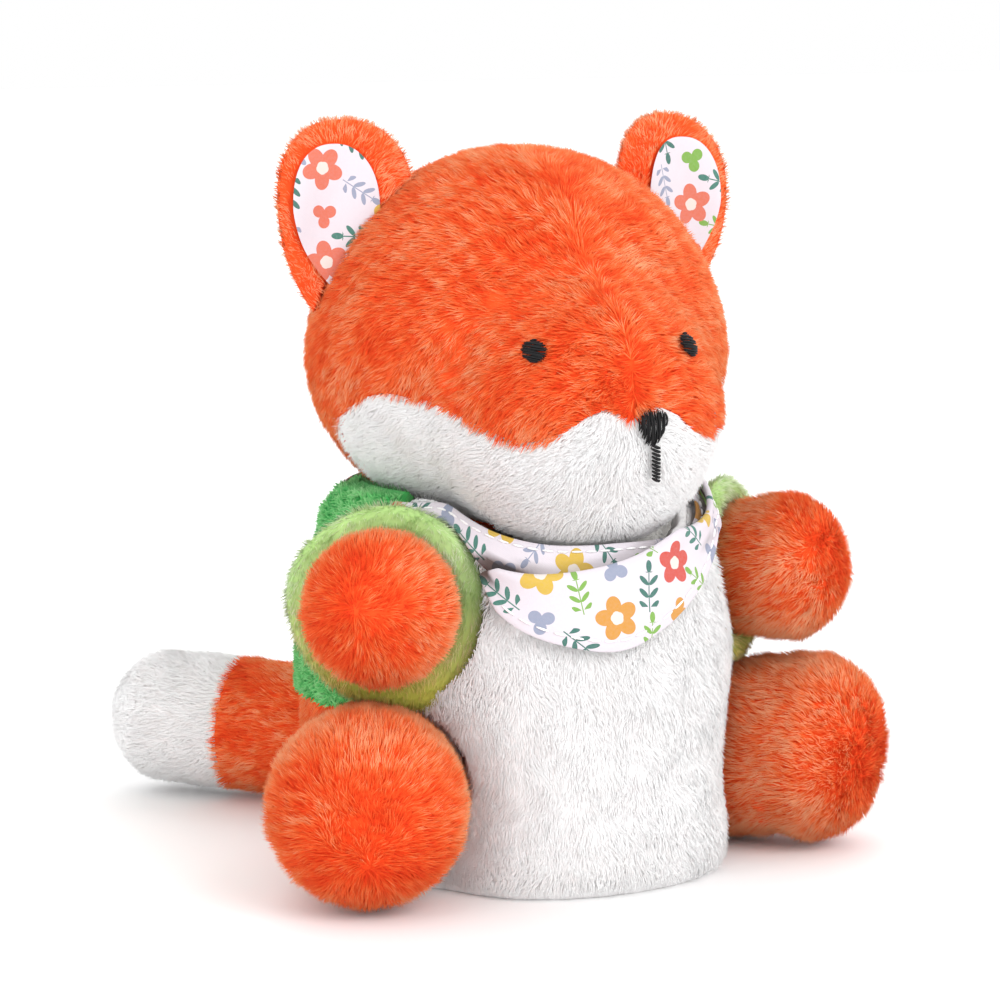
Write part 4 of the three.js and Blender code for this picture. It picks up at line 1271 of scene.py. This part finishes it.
# Topstitching on the kerchief, at a height above the lower edge, or below the upper one where it is negative
for name, turn, first, last, height in (
    ("flap_topstitch", flap, flap_ends[0] + 6, flap_ends[1] - 5, 2.6),
    ("band_topstitch", band, -150, 150, -1.6),
):
    degrees = np.arange(first, last, 4.1)[:, None] + 3.0 * np.linspace(0, 1, 6)
    low, top = turn.edges(degrees)
    climb = height / (top - low) + (height < 0)
    points, faces = strand(turn.point(degrees, climb, 0.75), 0.62)
    make(name, points, faces, "torso", [], "print_cotton", STITCH)

# Seat, fillings and bean bag. The bag's white cotton has the look of the thread
points, faces = node_mesh("seat_panel")
points[:, 2] = np.where(points[:, 2] < 2, 0.7, points[:, 2])
random, many = np.random.default_rng(121), 9000
turn, reach = random.uniform(-180, 180, many), 43.5 * np.sqrt(random.uniform(0.002, 1, many))
spokes = heading(turn, 0)
at = spokes * reach[:, None] + BODY_MIDDLE + 0.45 * UPRIGHT
down = np.tile([0.0, 0, -1], (many, 1))
clear = lambda p: p[:, 2] > 0.12
tufts = pile(at, down, spokes, 122, length=3.0, width=0.3, rise=2, sink=0, clear=clear)
furred("seat_panel", points, faces, [tufts], "torso", "white_plush")
in_limbs = [f"{part}_filling_{word}" for part in ("arm", "leg") for _, word in SIDES]
for name in ["head_filling", "body_filling", *in_limbs, "tail_filling", "bean_bag"]:
    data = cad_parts[name].data
    data.materials.clear()
    data.materials.append(STITCH if name == "bean_bag" else FIBRE)

# Floor and light
floor = bpy.data.meshes.new("floor")
floor.from_pydata([(-6, -6, 0), (6, -6, 0), (6, 6, 0), (-6, 6, 0)], [], [(0, 1, 2, 3)])
ground = Finish("pale_floor", Base_Color=(0.93, 0.93, 0.93, 1), Roughness=0.9, Specular_IOR_Level=0.1)
floor.materials.append(ground.material)
placed("floor", floor)

# The world lights the fox with grey, and the camera sees it white
world = bpy.data.worlds.new("studio")
bpy.context.scene.world = world
world.use_nodes = True
tree = world.node_tree
tree.nodes.clear()
kinds = ("Background", "Background", "LightPath", "MixShader", "OutputWorld")
light, seen, path, blend, out = (tree.nodes.new("ShaderNode" + kind) for kind in kinds)
light.inputs[1].default_value = 1.27
seen.inputs[0].default_value = (1, 1, 1, 1)
tree.links.new(path.outputs["Is Camera Ray"], blend.inputs[0])
tree.links.new(light.outputs[0], blend.inputs[1])
tree.links.new(seen.outputs[0], blend.inputs[2])
tree.links.new(blend.outputs[0], out.inputs[0])


def lamp(name, aim, strength, spread):
    """Sun with a wide disc, shining against aim."""
    sun = placed(name, bpy.data.lights.new(name, "SUN"))
    sun.data.energy, sun.data.angle = strength, math.radians(spread)
    sun.rotation_euler = Vector(aim).to_track_quat("Z", "Y").to_euler()


lamp("key", toward * 0.8 + right * 0.65 + over * 0.5, 1.45, 40)
lamp("back", over * 0.7 - toward * 0.7, 0.9, 60)
lamp("fill", toward * 0.9 - right * 0.6 + over * 0.1, 0.9, 60)
